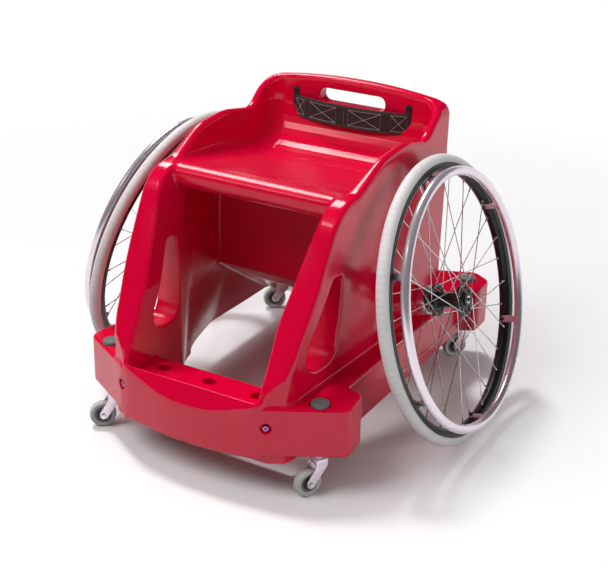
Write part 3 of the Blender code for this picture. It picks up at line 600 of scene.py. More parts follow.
# %% The shell's distance
def shell_distance(x, y, z):
    """How far a point is from the shell. Both sides are alike, so x counts from the middle plane."""
    x = np.abs(x)
    y = y - AXLE_Y
    # Guards and back: the side view where it meets the width. Lowering z here lifts the crowned top.
    crown = np.clip(CROWN - CROWN * (x / CROWN_HALF) ** 2.2, -CROWN_DIP, CROWN)
    crown = crown * smooth_step(y, *CROWN_ALONG)
    lowered = z - crown * smooth_step(z, *CROWN_LEVELS)
    across = meet(x - panel_width(y, z), lowered - BACK_TOP, BACK_CORNER)
    edge = PANEL_EDGE + PANEL_EDGE_MORE * smooth_step(z, *PANEL_LEVELS)
    panels = meet(side_view(y, lowered), across, edge)
    # Low down they stay within the base ring.
    panels = np.maximum(panels, np.where(z < SKIRT_TOP, plan_view(x, y) + SKIRT_INSET, -1.0))
    # Base ring, its deeper bumper in front, and the sloped scoop in the bumper's top.
    thick = np.abs(z - (BASE_LOW + BASE_HIGH) / 2) - (BASE_HIGH - BASE_LOW) / 2
    ring = meet(plan_view(x, y), thick, BASE_EDGE)
    bevel = np.clip(z - BUMPER_LOW, 0, BUMPER_BEVEL) * BUMPER_BEVEL_SLOPE
    bumper = np.maximum(np.maximum(x - BUMPER_X - bevel, BUMPER_LOW - z), z - BUMPER_TOP)
    bumper = np.maximum(meet(plan_view(x, y), bumper, BUMPER_EDGE), y - BUMPER_BACK)
    scoop = (y - SCOOP_AT[0]) * SCOOP_OUT[0] + (z - SCOOP_AT[1]) * SCOOP_OUT[1]
    base = cut(np.minimum(ring, bumper), np.maximum(scoop, SCOOP_LOW - z), SCOOP_EDGE)
    shell = join(panels, base, BASE_FILLET)
    # The boss round the cambered axle.
    along = (x - WHEEL_X) * math.cos(CAMBER) + (z - WHEEL_Z) * math.sin(CAMBER)
    up = (z - WHEEL_Z) * math.cos(CAMBER) - (x - WHEEL_X) * math.sin(CAMBER)
    shell = join(shell, boss_view(np.hypot(up, y), along), BOSS_FILLET)

    # Air over the seat, and the hollow for the legs.
    flare = SEAT_HALF + SEAT_FLARE * smooth_step(z, *FLARE_LEVELS)
    fillet = SEAT_FILLET + SEAT_FILLET_MORE * smooth_step(y, *SEAT_ALONG)
    bucket = meet(seat_air(y, z), x - flare, fillet)
    legs = meet(leg_air(y, z), x - np.maximum(foot_width(y, z), knee_width(y, z)), LEGS_FILLET)
    edge = MOUTH_EDGE + LOW_EDGE_MORE * smooth_step(z, *LOW_LEVELS)
    edge = edge + TOP_EDGE_MORE * smooth_step(z, *TOP_LEVELS)
    shell = cut(shell, np.minimum(bucket, legs), edge)

    # The leaf-shaped opening turns from one outline into the other through the strut's thickness.
    t = np.clip((x - LEAF_INNER_X) / (LEAF_OUTER_X - LEAF_INNER_X), 0, 1)
    leaf = leaf_inside(y, z) * (1 - t) + leaf_outside(y, z) * t
    shell = cut(shell, np.maximum(leaf, LEAF_FROM_X - x), LEAF_EDGE)
    # The handle's slot, the footplate's holes, the bolts' recesses and the pockets for the castor caps.
    shell = cut(shell, np.maximum(slot_view(x, z), SLOT_FROM_Y - y), SLOT_EDGE)
    for hole_x in HOLES_X:
        hole = np.maximum(np.hypot(x - hole_x, y - HOLES_Y) - HOLE_R, z - HOLE_TOP)
        shell = cut(shell, hole, HOLE_EDGE)
    toward = (x - BOLT_AT[0]) * BOLT_OUT[0] + (y - BOLT_AT[1]) * BOLT_OUT[1]
    beside = (x - BOLT_AT[0]) * -BOLT_OUT[1] + (y - BOLT_AT[1]) * BOLT_OUT[0]
    recess = np.maximum(np.hypot(beside, z - BOLT_AT[2]) - RECESS_R, -RECESS_DEEP - toward)
    shell = cut(shell, recess, RECESS_EDGE)
    for ear_x, ear_y in EARS:
        pocket = np.maximum(np.hypot(x - ear_x, y - ear_y) - POCKET_R, POCKET_FLOOR - z)
        shell = cut(shell, pocket, 0.0)
    return shell


# %% [markdown]
# The skin is found with surface nets. Every grid cell that the surface passes through gets one point, the
# mean of the places where the surface crosses the cell's edges. Where an edge crosses the surface, the
# points of the four cells round it make one quad. Whole arrays do this at once.

# %% Surface nets
def cell_skin(distance, low, high, step):
    """Points and quads of the surface where the distance is 0, one point for each cell it crosses."""
    low = np.array(low)
    counts = np.ceil((np.array(high) - low) / step).astype(int) + 1
    x, y, z = (low[i] + step * np.arange(counts[i]) for i in range(3))
    field = distance(x[:, None, None], y[None, :, None], z[None, None, :]).astype(np.float32)
    inside = field < 0
    total = np.zeros(counts - 1, np.int8)
    for shift in np.ndindex(2, 2, 2):
        total += inside[tuple(slice(s, n - 1 + s) for s, n in zip(shift, counts))]
    active = (total > 0) & (total < 8)
    number = np.full(active.shape, -1)
    number[active] = np.arange(active.sum())
    cells = np.argwhere(active)
    summed, crossings = np.zeros((len(cells), 3)), np.zeros(len(cells))
    unit = np.eye(3, dtype=int)
    for axis in range(3):
        others = [unit[i] for i in range(3) if i != axis]
        for a, b in np.ndindex(2, 2):
            start = cells + a * others[0] + b * others[1]
            end = start + unit[axis]
            first, last = field[tuple(start.T)], field[tuple(end.T)]
            crosses = (first < 0) != (last < 0)
            share = np.where(crosses, first / np.where(crosses, first - last, 1), 0)
            summed += np.where(crosses[:, None], start + share[:, None] * unit[axis], 0)
            crossings += crosses
    points = low + step * summed / crossings[:, None]
    quads = []
    for axis in range(3):
        a, b = [i for i in range(3) if i != axis]
        ahead = np.moveaxis(inside, axis, 0)
        changes = np.argwhere(np.moveaxis(ahead[1:] != ahead[:-1], 0, axis))
        changes = changes[(changes[:, a] > 0) & (changes[:, b] > 0)
                          & (changes[:, a] < counts[a] - 1) & (changes[:, b] < counts[b] - 1)]
        around = [number[tuple((changes - p * unit[a] - q * unit[b]).T)]
                  for p, q in ((1, 1), (0, 1), (0, 0), (1, 0))]
        quad = np.stack(around, axis=1)
        outward = inside[tuple(changes.T)] == (axis != 1)
        quads.append(np.where(outward[:, None], quad, quad[:, ::-1]))
    return points, np.concatenate(quads)


def slope_of(distance, points, step=0.0008):
    """The distance at each point and the direction in which it grows."""
    value = distance(*points.T)
    slope = np.stack([(distance(*(points + step * axis).T) - distance(*(points - step * axis).T)) / (2 * step)
                      for axis in np.eye(3)], axis=1)
    return value, slope


def settled(distance, points, rounds, limit=0.002):
    """Points moved onto the surface: each by its distance, against the slope, a little at a time."""
    for _ in range(rounds):
        value, slope = slope_of(distance, points)
        size = np.maximum(np.sum(slope ** 2, axis=1), 0.2)
        points = points - np.clip(value / size, -limit, limit)[:, None] * slope
    return points


# %% The shell as a mesh
def apply_modifiers(piece):
    """Gives a piece the mesh that its modifiers make of its own, and returns that mesh."""
    done = bpy.data.meshes.new_from_object(piece.evaluated_get(bpy.context.evaluated_depsgraph_get()))
    piece.modifiers.clear()
    piece.data = done
    return done


CELL = 0.0033
points, quads = cell_skin(shell_distance, (-0.3167, -0.430, 0.068), (0.3167, 0.432, 0.652), CELL)
points = settled(shell_distance, points, 2)
mesh = bpy.data.meshes.new("moulded_shell")
mesh.from_pydata(points, [], quads.tolist())
shell = in_scene("moulded_shell", mesh)
print("shell skin:", len(quads), "quads")

SHELL_TRIANGLES = 180000
fewer = shell.modifiers.new("Fewer where flat", "DECIMATE")
fewer.ratio = SHELL_TRIANGLES / (2 * len(quads))
fewer.use_collapse_triangulate = True
reduced = apply_modifiers(shell)
corners = np.empty(len(reduced.vertices) * 3)
reduced.vertices.foreach_get("co", corners)
corners = settled(shell_distance, corners.reshape(-1, 3), 1, 0.0006)
reduced.vertices.foreach_set("co", corners.ravel())
_, normals = slope_of(shell_distance, corners)
normals /= np.linalg.norm(normals, axis=1)[:, None]
reduced.shade_smooth()
reduced.normals_split_custom_set_from_vertices(normals)
reduced.materials.clear()
reduced.materials.append(gloss_red.material)
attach(shell, "chair")
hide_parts("body_shell")
print("shell:", len(reduced.polygons), "triangles")

# %% [markdown]
# ## Ear caps and front bolts
# Each ear of the base ring has a domed plug over the castor's bolt, standing in a moulded lip. Two
# violet button-head bolts sit deep in round recesses of the bumper, each with a hexagon socket. Plugs are
# turned from a profile. A bolt is a stack of rings, round or hexagonal, which a turned profile can't give.

# %% Pieces that are turned
SIDES = ((-1, "left"), (1, "right"))


def spun(name, profile, place, finish, body, replaces=(), steps=48, ring=False, sharp=35):
    """A piece turned about the Z axis of its place, which is a 4 x 4 matrix."""
    return make(name, moved(turned(profile, steps, ring), place), finish, body, replaces, sharp)


def both_sides(half):
    """A profile that goes on with its own mirror image, height to -height."""
    return half + [(radius, -height) for radius, height in reversed(half)]


# %% Lips and caps on the four ears
EAR_SPOTS = (("front_left", -1, EARS[0]), ("front_right", 1, EARS[0]),
             ("rear_left", -1, EARS[1]), ("rear_right", 1, EARS[1]))
lip_profile = [(0.0191, 0.1780), (0.0192, 0.1882), (0.0191, 0.1888), (0.0188, 0.1890), (0.0185, 0.1887),
               (0.0184, 0.1880), (0.0183, 0.1870), (0.0183, 0.1780)]
cap_profile = [(0, 0.1971), (0.0080, 0.1970), (0.0125, 0.1967), (0.0152, 0.1960), (0.0168, 0.1949),
               (0.0177, 0.1934), (0.0180, 0.1915), (0.0180, 0.1782), (0, 0.1782)]


def under_ear(sign, spot):
    """The frame of an ear's upright axis, with its origin on the floor."""
    return Matrix.Translation((sign * spot[0], spot[1] + AXLE_Y, 0))


lips = []
for name, sign, spot in EAR_SPOTS:
    place = under_ear(sign, spot)
    lips.append(moved(turned(lip_profile, 64, ring=True), place))
    spun("cap_" + name, cap_profile, place, cap_plastic, "chair", ["castor_cap_" + name], 64)
make("ear_lips", lips, gloss_red, "chair")
print("caps:", len(lips))

# %% Rings and bolt heads
RING_POINTS = 24


def round_ring(radius, height):
    """Points round the axis at one height, (r cos a, r sin a, h). The radius may change with the angle."""
    angle = np.linspace(0, 2 * np.pi, RING_POINTS, endpoint=False)
    return np.stack([radius * np.cos(angle), radius * np.sin(angle), np.full(RING_POINTS, height)], axis=-1)


def hex_ring(flat, height):
    """Points of a hexagon, 'flat' across its flats, at one height: r = flat / 2 / cos(angle from a flat)."""
    angle = np.linspace(0, 2 * np.pi, RING_POINTS, endpoint=False)
    off = (angle + np.pi / 6) % (np.pi / 3) - np.pi / 6
    return round_ring(flat / 2 / np.cos(off), height)


def stacked(*rings):
    """A part whose skin runs from ring to ring."""
    return grid(np.array(rings), close_columns=True)


def socket_head(radius, top, thick, flat, shank_radius, shank_end):
    """A button head with a hexagon socket: a stack of rings from the socket's floor over the dome."""
    return stacked(
        round_ring(0, top - thick * 0.7), hex_ring(flat, top - thick * 0.65), hex_ring(flat, top),
        hex_ring(flat * 1.12, top + thick * 0.02), round_ring(radius * 0.72, top - thick * 0.10),
        round_ring(radius * 0.90, top - thick * 0.35), round_ring(radius, top - thick * 0.75),
        round_ring(radius, top - thick), round_ring(shank_radius, top - thick),
        round_ring(shank_radius, shank_end), round_ring(0, shank_end))


# %% Front bolts
def bolt_frame(sign):
    """The frame of a front bolt: Z out of the bumper's skin."""
    out = Vector((sign * BOLT_OUT[0], BOLT_OUT[1], 0))
    up = Vector((0, 0, 1))
    return frame_of(up, out.cross(up), out, (sign * BOLT_AT[0], BOLT_AT[1] + AXLE_Y, BOLT_AT[2]))


for sign, side in SIDES:
    head = socket_head(0.0072, -0.0035, 0.0050, 0.0044, 0.0040, -0.0330)
    make("bumper_bolt_" + side, moved(head, bolt_frame(sign)), violet, "chair",
         ["front_bolt_" + side], sharp=30)

# %% [markdown]
# ## Drive wheels
# A pale pneumatic tyre on a black box-section rim, 32 crossed spokes, and a slotted hub. The handrim is a
# polished tube on six lugs, bolted through the rim. Each part is drawn as a profile and turned about the
# axle; what repeats is one small part set round in a circle. The tyre's fine tread runs with its own map,
# which counts turns of the wheel one way and crosses the tyre the other way.

# %% The tyre's rubber
tyre_rubber = Finish("tyre_rubber", (0.80, 0.77, 0.77), 0.55)
around, across, _ = tyre_rubber.parts(tyre_rubber.add("UVMap", {"uv_map": "UVMap"}))
hatch = (around * 420.0 + across * 60.0).wave() * (around * 420.0 - across * 60.0).wave()
hatch = hatch * across.near(0.5, 0.22)
dust = tyre_rubber.noise(30.0, 4.0).ramp(0.4, 0.75)
dusty = tyre_rubber.blend(dust, (0.78, 0.755, 0.755), (0.84, 0.81, 0.81))
tyre_rubber.set(Base_Color=tyre_rubber.blend(hatch.ramp(0.2, 0.9) * 0.35, dusty, (0.56, 0.55, 0.54)))
tyre_rubber.set(Roughness=tyre_rubber.noise(300.0) * 0.2 + 0.45)
tyre_rubber.relief(hatch, 0.00012)

# %% The tyre's shape
WHEEL_STEPS = 180
RIM_TOP = 0.2765
TYRE_POINTS = 40
RIB_AT, RIB_WIDTH, RIB_HIGH = 2.0, 0.10, 0.02
GROOVE_AT, GROOVE_WIDTH, GROOVE_DEEP = 1.15, 0.05, 0.015


def bump(value, middle, width):
    """A soft bump: 1 in the middle, exp(-((value - middle) / width) ** 2) round it."""
    return np.exp(-((value - middle) / width) ** 2)


def tyre_parts():
    """The tyre's round section, open to the rim, carried round the wheel. Its map counts turns along the
    tread and 0 to 1 across it. Each sidewall has a shallow rib and a groove."""
    opening = math.acos((TYRE_RING_R - RIM_TOP) / TYRE_R)
    angle = np.linspace(np.pi - opening, opening - np.pi, TYRE_POINTS)
    rib = RIB_HIGH * bump(np.abs(angle), RIB_AT, RIB_WIDTH)
    groove = GROOVE_DEEP * bump(np.abs(angle), GROOVE_AT, GROOVE_WIDTH)
    radius = TYRE_R * (1 + rib - groove)
    reach = TYRE_RING_R + radius * np.cos(angle)
    turn = np.linspace(0, 2 * np.pi, WHEEL_STEPS + 1)[:, None]
    rows = np.broadcast_arrays(reach * np.cos(turn), reach * np.sin(turn), radius * np.sin(angle))
    points = np.stack(rows, axis=-1)
    flat = np.stack(np.broadcast_arrays(turn / (2 * np.pi), np.linspace(0, 1, TYRE_POINTS)), axis=-1)
    flat = np.concatenate([flat.reshape(-1, 2), np.zeros((2 * len(points), 2))])
    return joined([grid(points), grid(points[:, [0, -1]])]), flat


# %% Rim, handrim and lug nuts
HANDRIM_AT = 0.036
HANDRIM_RING_R, HANDRIM_R = 0.2595, 0.0095
LUGS = 6
LUG_HALF, LUG_FOOT, LUG_END = 0.007, -0.0055, 0.030
LUG_LOW, LUG_HIGH = 0.2556, 0.2586
NUT_FROM_R = 0.2558
rim_profile = both_sides([
    (0.2765, 0.0100), (0.2772, 0.0116), (0.2778, 0.0126), (0.2772, 0.0131), (0.2752, 0.0132),
    (0.2738, 0.0128), (0.2733, 0.0120), (0.2708, 0.0119), (0.2700, 0.0125), (0.2685, 0.0126),
    (0.2655, 0.0118), (0.2625, 0.0095), (0.2603, 0.0062), (0.2592, 0.0030)])


def circle_of(part, count):
    """The same part set round the wheel's axle this many times."""
    return [moved(part, Matrix.Rotation(2 * math.pi * k / count, 4, "Z")) for k in range(count)]


def handrim_parts():
    """A round tube, and its lugs: a strip from under the tube to the rim's bed, with its rounded foot."""
    angle = np.linspace(0, 2 * np.pi, 24, endpoint=False)
    circle = [HANDRIM_RING_R + HANDRIM_R * np.cos(angle), HANDRIM_AT + HANDRIM_R * np.sin(angle)]
    tube = turned(np.stack(circle, axis=1), WHEEL_STEPS, ring=True)
    outline = rounded([(-LUG_HALF, LUG_FOOT, 0.0065), (LUG_HALF, LUG_FOOT, 0.0065),
                       (LUG_HALF, LUG_END, 0.001), (-LUG_HALF, LUG_END, 0.001)], 6)
    upright = Matrix(((0, 0, 1, 0), (1, 0, 0, 0), (0, 1, 0, 0), (0, 0, 0, 1)))
    return [tube] + circle_of(moved(slab(outline, LUG_LOW, LUG_HIGH, 0.0006), upright), LUGS)


def lug_nuts():
    """A hexagon nut with its bolt end on each lug, standing on the rim's bed and pointing to the hub."""
    nut = stacked(
        hex_ring(0.001, 0.0001), hex_ring(0.0078, 0.0), hex_ring(0.0082, 0.0006), hex_ring(0.0082, 0.0034),
        hex_ring(0.0076, 0.0040), round_ring(0.0026, 0.0040), round_ring(0.0025, 0.0056),
        round_ring(0, 0.0058))
    inward = Matrix(((0, 0, -1, NUT_FROM_R), (0, 1, 0, 0), (1, 0, 0, 0), (0, 0, 0, 1)))
    return circle_of(moved(nut, inward), LUGS)


# %% Tyres, rims and handrims in place
WHEELS = [(side, "drive_wheel_" + side, axle_frame(sign)) for sign, side in SIDES]
for side, body, wheel in WHEELS:
    tyre, tread_map = tyre_parts()
    make("pneumatic_tyre_" + side, moved(tyre, wheel), tyre_rubber, body,
         ["tyre_" + side], 50, tread_map)
    spun("box_rim_" + side, rim_profile, wheel, anodised, body,
         ["rim_" + side], WHEEL_STEPS, True, 28)
    make("hand_rim_" + side, moved(joined(handrim_parts()), wheel), polished, body,
         ["handrim_" + side])
    make("lug_nuts_" + side, moved(joined(lug_nuts()), wheel), dark_plastic, body)
print("wheels", round(2000 * (TYRE_RING_R + TYRE_R)), "mm over the tyre")

# %% [markdown]
# Each spoke starts with a small head on one side of its flange, bends through the flange's hole, and runs
# straight to its nipple at the rim, three places on from where it left the hub. Neighbours go opposite
# ways, so they cross; half of the heads are outside the flange and half inside.

# %% Spokes with heads and nipples
SPOKES, CROSSED = 16, 3
SPOKE_R = 0.0010
HEAD_PROUD, SKIN_GAP, TURN_IN = 0.0006, 0.0003, 0.0008
FLANGE_AT, FLANGE_HALF = 0.030, 0.0016
HUB_CIRCLE, RIM_CIRCLE = 0.0305, 0.2590
SPOKE_END_AT = 0.0035
BEND = 0.0022
NIPPLE_BACK = np.array([[0.0125], [0.0120], [0.0030], [0.0022], [0.0]])
NIPPLE_R = [0.0013, 0.0017, 0.0018, 0.0024, 0.0024]
spoke_head = turned([(0, 0.0011), (0.0011, 0.0009), (0.0018, 0.0), (0.0018, -0.0004), (0, -0.0006)], 10)


def spoke_parts(flange_side):
    """The spokes of one flange. A spoke's path is its head, the bend through the flange and the rim end."""
    pitch = 2 * math.pi / SPOKES
    flange = flange_side * FLANGE_AT
    skin = FLANGE_HALF + SPOKE_R + SKIN_GAP
    end_s = flange_side * SPOKE_END_AT
    parts = []
    for k in range(SPOKES):
        way = 1 if k % 2 == 0 else -1
        start = (k + (0.5 if flange_side > 0 else 0.0)) * pitch
        end = start + way * CROSSED * pitch
        hub_point = HUB_CIRCLE * np.array([math.cos(start), math.sin(start)])
        run = RIM_CIRCLE * np.array([math.cos(end), math.sin(end)]) - hub_point
        length = np.linalg.norm(run)
        ahead = run / length
        head_s = flange + way * (skin + HEAD_PROUD)
        leave_s = flange - way * skin
        bend = [(*hub_point, head_s), (*hub_point, flange - way * TURN_IN),
                (*(hub_point + ahead * 0.0006), leave_s + way * 0.0006),
                (*(hub_point + ahead * BEND), leave_s)]
        reach = np.linspace(BEND, length, 6)[1:, None]
        rise = leave_s + (end_s - leave_s) * (reach - BEND) / (length - BEND)
        path = np.concatenate([bend, np.concatenate([hub_point + ahead * reach, rise], axis=1)])
        parts.append(swept(path, SPOKE_R, 7))
        turn = Matrix.Rotation(0 if way > 0 else math.pi, 4, "X")
        parts.append(moved(spoke_head, Matrix.Translation((*hub_point, head_s)) @ turn))
        tail = path[-1] - path[-2]
        parts.append(swept(path[-1] - tail / np.linalg.norm(tail) * NIPPLE_BACK, NIPPLE_R, 8))
    return parts


for side, body, wheel in WHEELS:
    for flange_side, name in ((1, "outer"), (-1, "inner")):
        make(f"wire_spokes_{name}_{side}", moved(joined(spoke_parts(flange_side)), wheel),
             spoke_steel, body, [f"spokes_{name}_{side}"], 40)
print("spokes in each wheel:", 2 * SPOKES)

# %% [markdown]
# The hub is turned from bar, with eight slots milled through each flange to save weight. The slots are
# cut with a Boolean, which keeps their edges crisp.

# %% The hub's profile and its slots
HUB_SLOTS, SLOT_CIRCLE = 8, 0.0240
SLOT_HALF_LENGTH, SLOT_HALF_WIDTH = 0.0048, 0.0026
SLOT_DEPTHS = ((0.026, 0.034), (-0.034, -0.026))
RACES = (("outer", 0.0285, 0.0343), ("inner", -0.0343, -0.0285))
hub_profile = both_sides([
    (0.0063, 0.0282), (0.0123, 0.0282), (0.0123, 0.0345), (0.0158, 0.0345), (0.0166, 0.0338),
    (0.0180, 0.0318), (0.0335, 0.0316), (0.0343, 0.0310), (0.0345, 0.0300), (0.0343, 0.0290),
    (0.0335, 0.0284), (0.0185, 0.0284), (0.0162, 0.0262), (0.0150, 0.0225), (0.0147, 0.0100)])


def slot_outline(middle_angle, radius, half_length, half_width, steps=8):
    """A curved slot about the hub: an arc at this radius, widened by half_width, with round ends."""
    arc = np.linspace(middle_angle - half_length / radius, middle_angle + half_length / radius, steps)
    middle_line = np.stack([np.cos(arc), np.sin(arc)], axis=1)
    ends = []
    for angle, way in ((arc[-1], 1), (arc[0], -1)):
        centre = radius * np.array([math.cos(angle), math.sin(angle)])
        sweep = angle + way * np.linspace(0, math.pi, 8)[1:-1]
        ends.append(centre + half_width * np.stack([np.cos(sweep), np.sin(sweep)], axis=1))
    out = (radius + half_width) * middle_line
    back = (radius - half_width) * middle_line[::-1]
    return np.concatenate([out, ends[0], back, ends[1][::-1]])


def cut_through(piece, parts):
    """Cuts closed parts out of a piece with an exact Boolean, and keeps the result as its mesh."""
    points, faces = joined(parts)
    mesh = bpy.data.meshes.new("cutter")
    mesh.from_pydata(points, [], faces)
    tool = in_scene("cutter", mesh)
    face_outwards(mesh, False)
    step = piece.modifiers.new("Cut", "BOOLEAN")
    step.operation = "DIFFERENCE"
    step.solver = "EXACT"
    step.object = tool
    apply_modifiers(piece).set_sharp_from_angle(angle=math.radians(35))
    bpy.data.objects.remove(tool)


# %% Hubs and their bearings
for side, body, wheel in WHEELS:
    hub = spun("slotted_hub_" + side, hub_profile, wheel, anodised, body,
               ["wheel_hub_" + side], 64, True)
    slots = []
    for k in range(HUB_SLOTS):
        middle = (k + 0.5) * 2 * math.pi / HUB_SLOTS
        outline = slot_outline(middle, SLOT_CIRCLE, SLOT_HALF_LENGTH, SLOT_HALF_WIDTH)
        slots += [moved(slab(outline, low, high, 0.0), wheel) for low, high in SLOT_DEPTHS]
    cut_through(hub, slots)
    for name, low, high in RACES:
        race = [(0.0064, low), (0.0064, high), (0.0080, high), (0.0084, high - 0.0004),
                (0.0104, high - 0.0004), (0.0108, high), (0.0120, high), (0.0120, low)]
        spun(f"hub_race_{name}_{side}", race, wheel, turned_steel, body,
             [f"hub_bearing_{name}_{side}"], ring=True)
print("hub:", len(hub.data.polygons), "faces once its slots are cut")

# %% Valves
VALVE_FROM_R = 0.2588
thread = [(0.0026 + 0.00015 * (k % 2), 0.0115 + 0.0005 * k) for k in range(14)]
valve_profile = [(0, 0.0), (0.0041, 0.0), (0.0041, 0.0030), (0.0030, 0.0110)] + thread
valve_profile += [(0.0031, 0.0186), (0.0033, 0.0190), (0.0033, 0.0262), (0.0026, 0.0275), (0, 0.0280)]
valve_angle = math.pi + math.pi / (2 * SPOKES)
inward = Vector((-math.cos(valve_angle), -math.sin(valve_angle), 0))
axle_way = Vector((0, 0, 1))
valve_place = frame_of(axle_way.cross(inward), axle_way, inward, -inward * VALVE_FROM_R)
for side, body, wheel in WHEELS:
    spun("air_valve_" + side, valve_profile, wheel @ valve_place, dark_plastic, body,
         ["valve_" + side], 20)

# %% [markdown]
# ## Axles
# The wheel runs on a quick-release axle. Its outer end is a black housing with a bright ring and a button
# in the middle. Inside the wheel, a bright receiver flange closes the moulded boss.

# %% Axles, buttons and receivers
spindle_profile = [
    (0, -0.110), (0.0055, -0.110), (0.0060, -0.1095), (0.0060, 0.0352), (0.0078, 0.0352), (0.0081, 0.0392),
    (0.0078, 0.0400), (0.0050, 0.0400), (0.0046, 0.0396), (0.0046, 0.0300), (0, 0.0300)]
housing_profile = [
    (0.0083, 0.0351), (0.0124, 0.0351), (0.0130, 0.0357), (0.0130, 0.0375), (0.0122, 0.0384),
    (0.0098, 0.0387), (0.0090, 0.0383), (0.0084, 0.0372)]
button_profile = [
    (0, 0.0430), (0.0022, 0.0429), (0.0036, 0.0424), (0.0042, 0.0414), (0.0042, 0.0345), (0, 0.0345)]
receiver_profile = [
    (0, -0.112), (0.0063, -0.112), (0.0063, -0.0350), (0.0088, -0.0350), (0.0094, -0.0356),
    (0.0097, -0.0420), (0.0112, -0.0438), (0.0150, -0.0442), (0.0158, -0.0450), (0.0266, -0.0450),
    (0.0286, -0.0455), (0.0297, -0.0466), (0.0300, -0.0482), (0.0300, -0.0620), (0.0290, -0.0645),
    (0.0280, -0.0650), (0.0135, -0.0650), (0.0135, -0.1300), (0, -0.1300)]
for side, _, wheel in WHEELS:
    spun("spindle_" + side, spindle_profile, wheel, steel, "chair",
         ["quick_release_axle_" + side], 40)
    spun("spindle_housing_" + side, housing_profile, wheel, dark_plastic, "chair",
         ring=True)
    spun("release_button_" + side, button_profile, wheel, dark_plastic, "button_" + side,
         ["quick_release_button_" + side], 32)
    spun("receiver_" + side, receiver_profile, wheel, turned_steel, "chair",
         ["axle_receiver_" + side], 64)

# %% [markdown]
# ## Castors
# Four soft castors swivel under the ears. A fork is a crown with a stem and two legs cut from plate; the
# wheel is a pale tyre on a grey hub with a dark bearing ring, on a bolt through the legs. Each castor trails
# at the angle that it has in the photo.

# %% A castor's outlines and profiles
CASTOR_TRAIL, CASTOR_R = 0.024, 0.0275
LEGS_FROM, LEG_THICK = (0.0115, -0.0145), 0.003
CROWN_LOW, CROWN_HIGH = 0.0655, 0.0778
TRAIL_ANGLES = (-138.0, -120.0, -142.0, -131.0)
leg_outline = rounded([
    (-0.0125, 0.0775, 0.001), (-0.0125, 0.063, 0.012), (0.0175, 0.0205, 0.0068), (0.0310, 0.0205, 0.0068),
    (0.0310, 0.0345, 0.0068), (0.0125, 0.063, 0.012), (0.0125, 0.0775, 0.001)], 6)
crown_outline = rounded([
    (-0.0125, -0.0146, 0.003), (0.0125, -0.0146, 0.003), (0.0125, 0.0146, 0.003),
    (-0.0125, 0.0146, 0.003)], 5)
stem_profile = [
    (0, 0.157), (0.0082, 0.157), (0.0085, 0.1565), (0.0085, 0.1510), (0.0050, 0.1510),
    (0.0050, 0.0850), (0.0095, 0.0838), (0.0095, 0.0780), (0, 0.0700)]
roller_tyre_profile = both_sides([
    (0.0180, 0.0074), (0.0205, 0.0084), (0.0235, 0.0090), (0.0252, 0.0086), (0.0265, 0.0072),
    (0.0272, 0.0050), (0.0275, 0.0025)])
roller_hub_profile = both_sides([
    (0.0033, 0.0098), (0.0062, 0.0098), (0.0068, 0.0092), (0.0072, 0.0060), (0.0080, 0.0056),
    (0.0132, 0.0058), (0.0140, 0.0070), (0.0165, 0.0074), (0.0174, 0.0070), (0.0178, 0.0060)])
seal_profile = [
    (0.0073, 0.0058), (0.0076, 0.0072), (0.0084, 0.0077), (0.0122, 0.0077), (0.0130, 0.0072),
    (0.0133, 0.0058), (0.0103, 0.0050)]
far_seal_profile = [(radius, -height) for radius, height in seal_profile]
seals = joined([turned(seal_profile, ring=True), turned(far_seal_profile, ring=True)])
roller_bolt = stacked(
    round_ring(0, 0.0180), round_ring(0.0028, 0.0180), hex_ring(0.0095, 0.0176), hex_ring(0.0100, 0.0170),
    hex_ring(0.0100, 0.0148), round_ring(0.0029, 0.0148), round_ring(0.0029, -0.0148),
    hex_ring(0.0100, -0.0148), hex_ring(0.0100, -0.0180), hex_ring(0.0094, -0.0186),
    round_ring(0.0029, -0.0186), round_ring(0.0029, -0.0190), round_ring(0, -0.0190))

# %% Castors in place
front_up = Matrix(((1, 0, 0, 0), (0, 0, -1, 0), (0, 1, 0, 0), (0, 0, 0, 1)))
roller_turn = Matrix(((0, -1, 0, CASTOR_TRAIL), (0, 0, 1, 0), (-1, 0, 0, CASTOR_R), (0, 0, 0, 1)))
legs = [moved(slab(leg_outline, low, low + LEG_THICK, 0.0007), front_up) for low in LEGS_FROM]
crown = slab(crown_outline, CROWN_LOW, CROWN_HIGH, 0.0012)
fork_parts = joined(legs + [crown, turned(stem_profile, 32)])
for (name, sign, spot), trail in zip(EAR_SPOTS, TRAIL_ANGLES):
    swivel = under_ear(sign, spot) @ Matrix.Rotation(math.radians(trail), 4, "Z")
    roller = swivel @ roller_turn
    fork_body, wheel_body = "castor_fork_" + name, "castor_wheel_" + name
    make("fork_" + name, moved(fork_parts, swivel), polished, fork_body,
         ["castor_fork_" + name])
    make("roller_bolt_" + name, moved(roller_bolt, roller), steel, fork_body,
         ["castor_bolt_" + name], 30)
    spun("roller_tyre_" + name, roller_tyre_profile, roller, castor_rubber, wheel_body,
         ["castor_tyre_" + name], 72, True)
    spun("roller_hub_" + name, roller_hub_profile, roller, hub_plastic, wheel_body,
         ["castor_hub_" + name], ring=True)
    make("roller_seals_" + name, moved(seals, roller), dark_plastic, wheel_body)
print("castors:", len(EAR_SPOTS))

# %% [markdown]
# ## Backrest strap
# A band of dark webbing crosses the back below the handle slot. It bows forward between two bolted
# tabs. The weave and the cords along its edges are relief in the material; the white thread is real: each
# stitch is a short bead, laid along boxes with crosses.

# %% The strap's line
STRAP_X = 0.140
STRAP_LOW, STRAP_HIGH = 0.5500, 0.5975
STRAP_BACK_Y = 0.1847 + AXLE_Y
STRAP_BOW, STRAP_THICK = 0.025, 0.0024


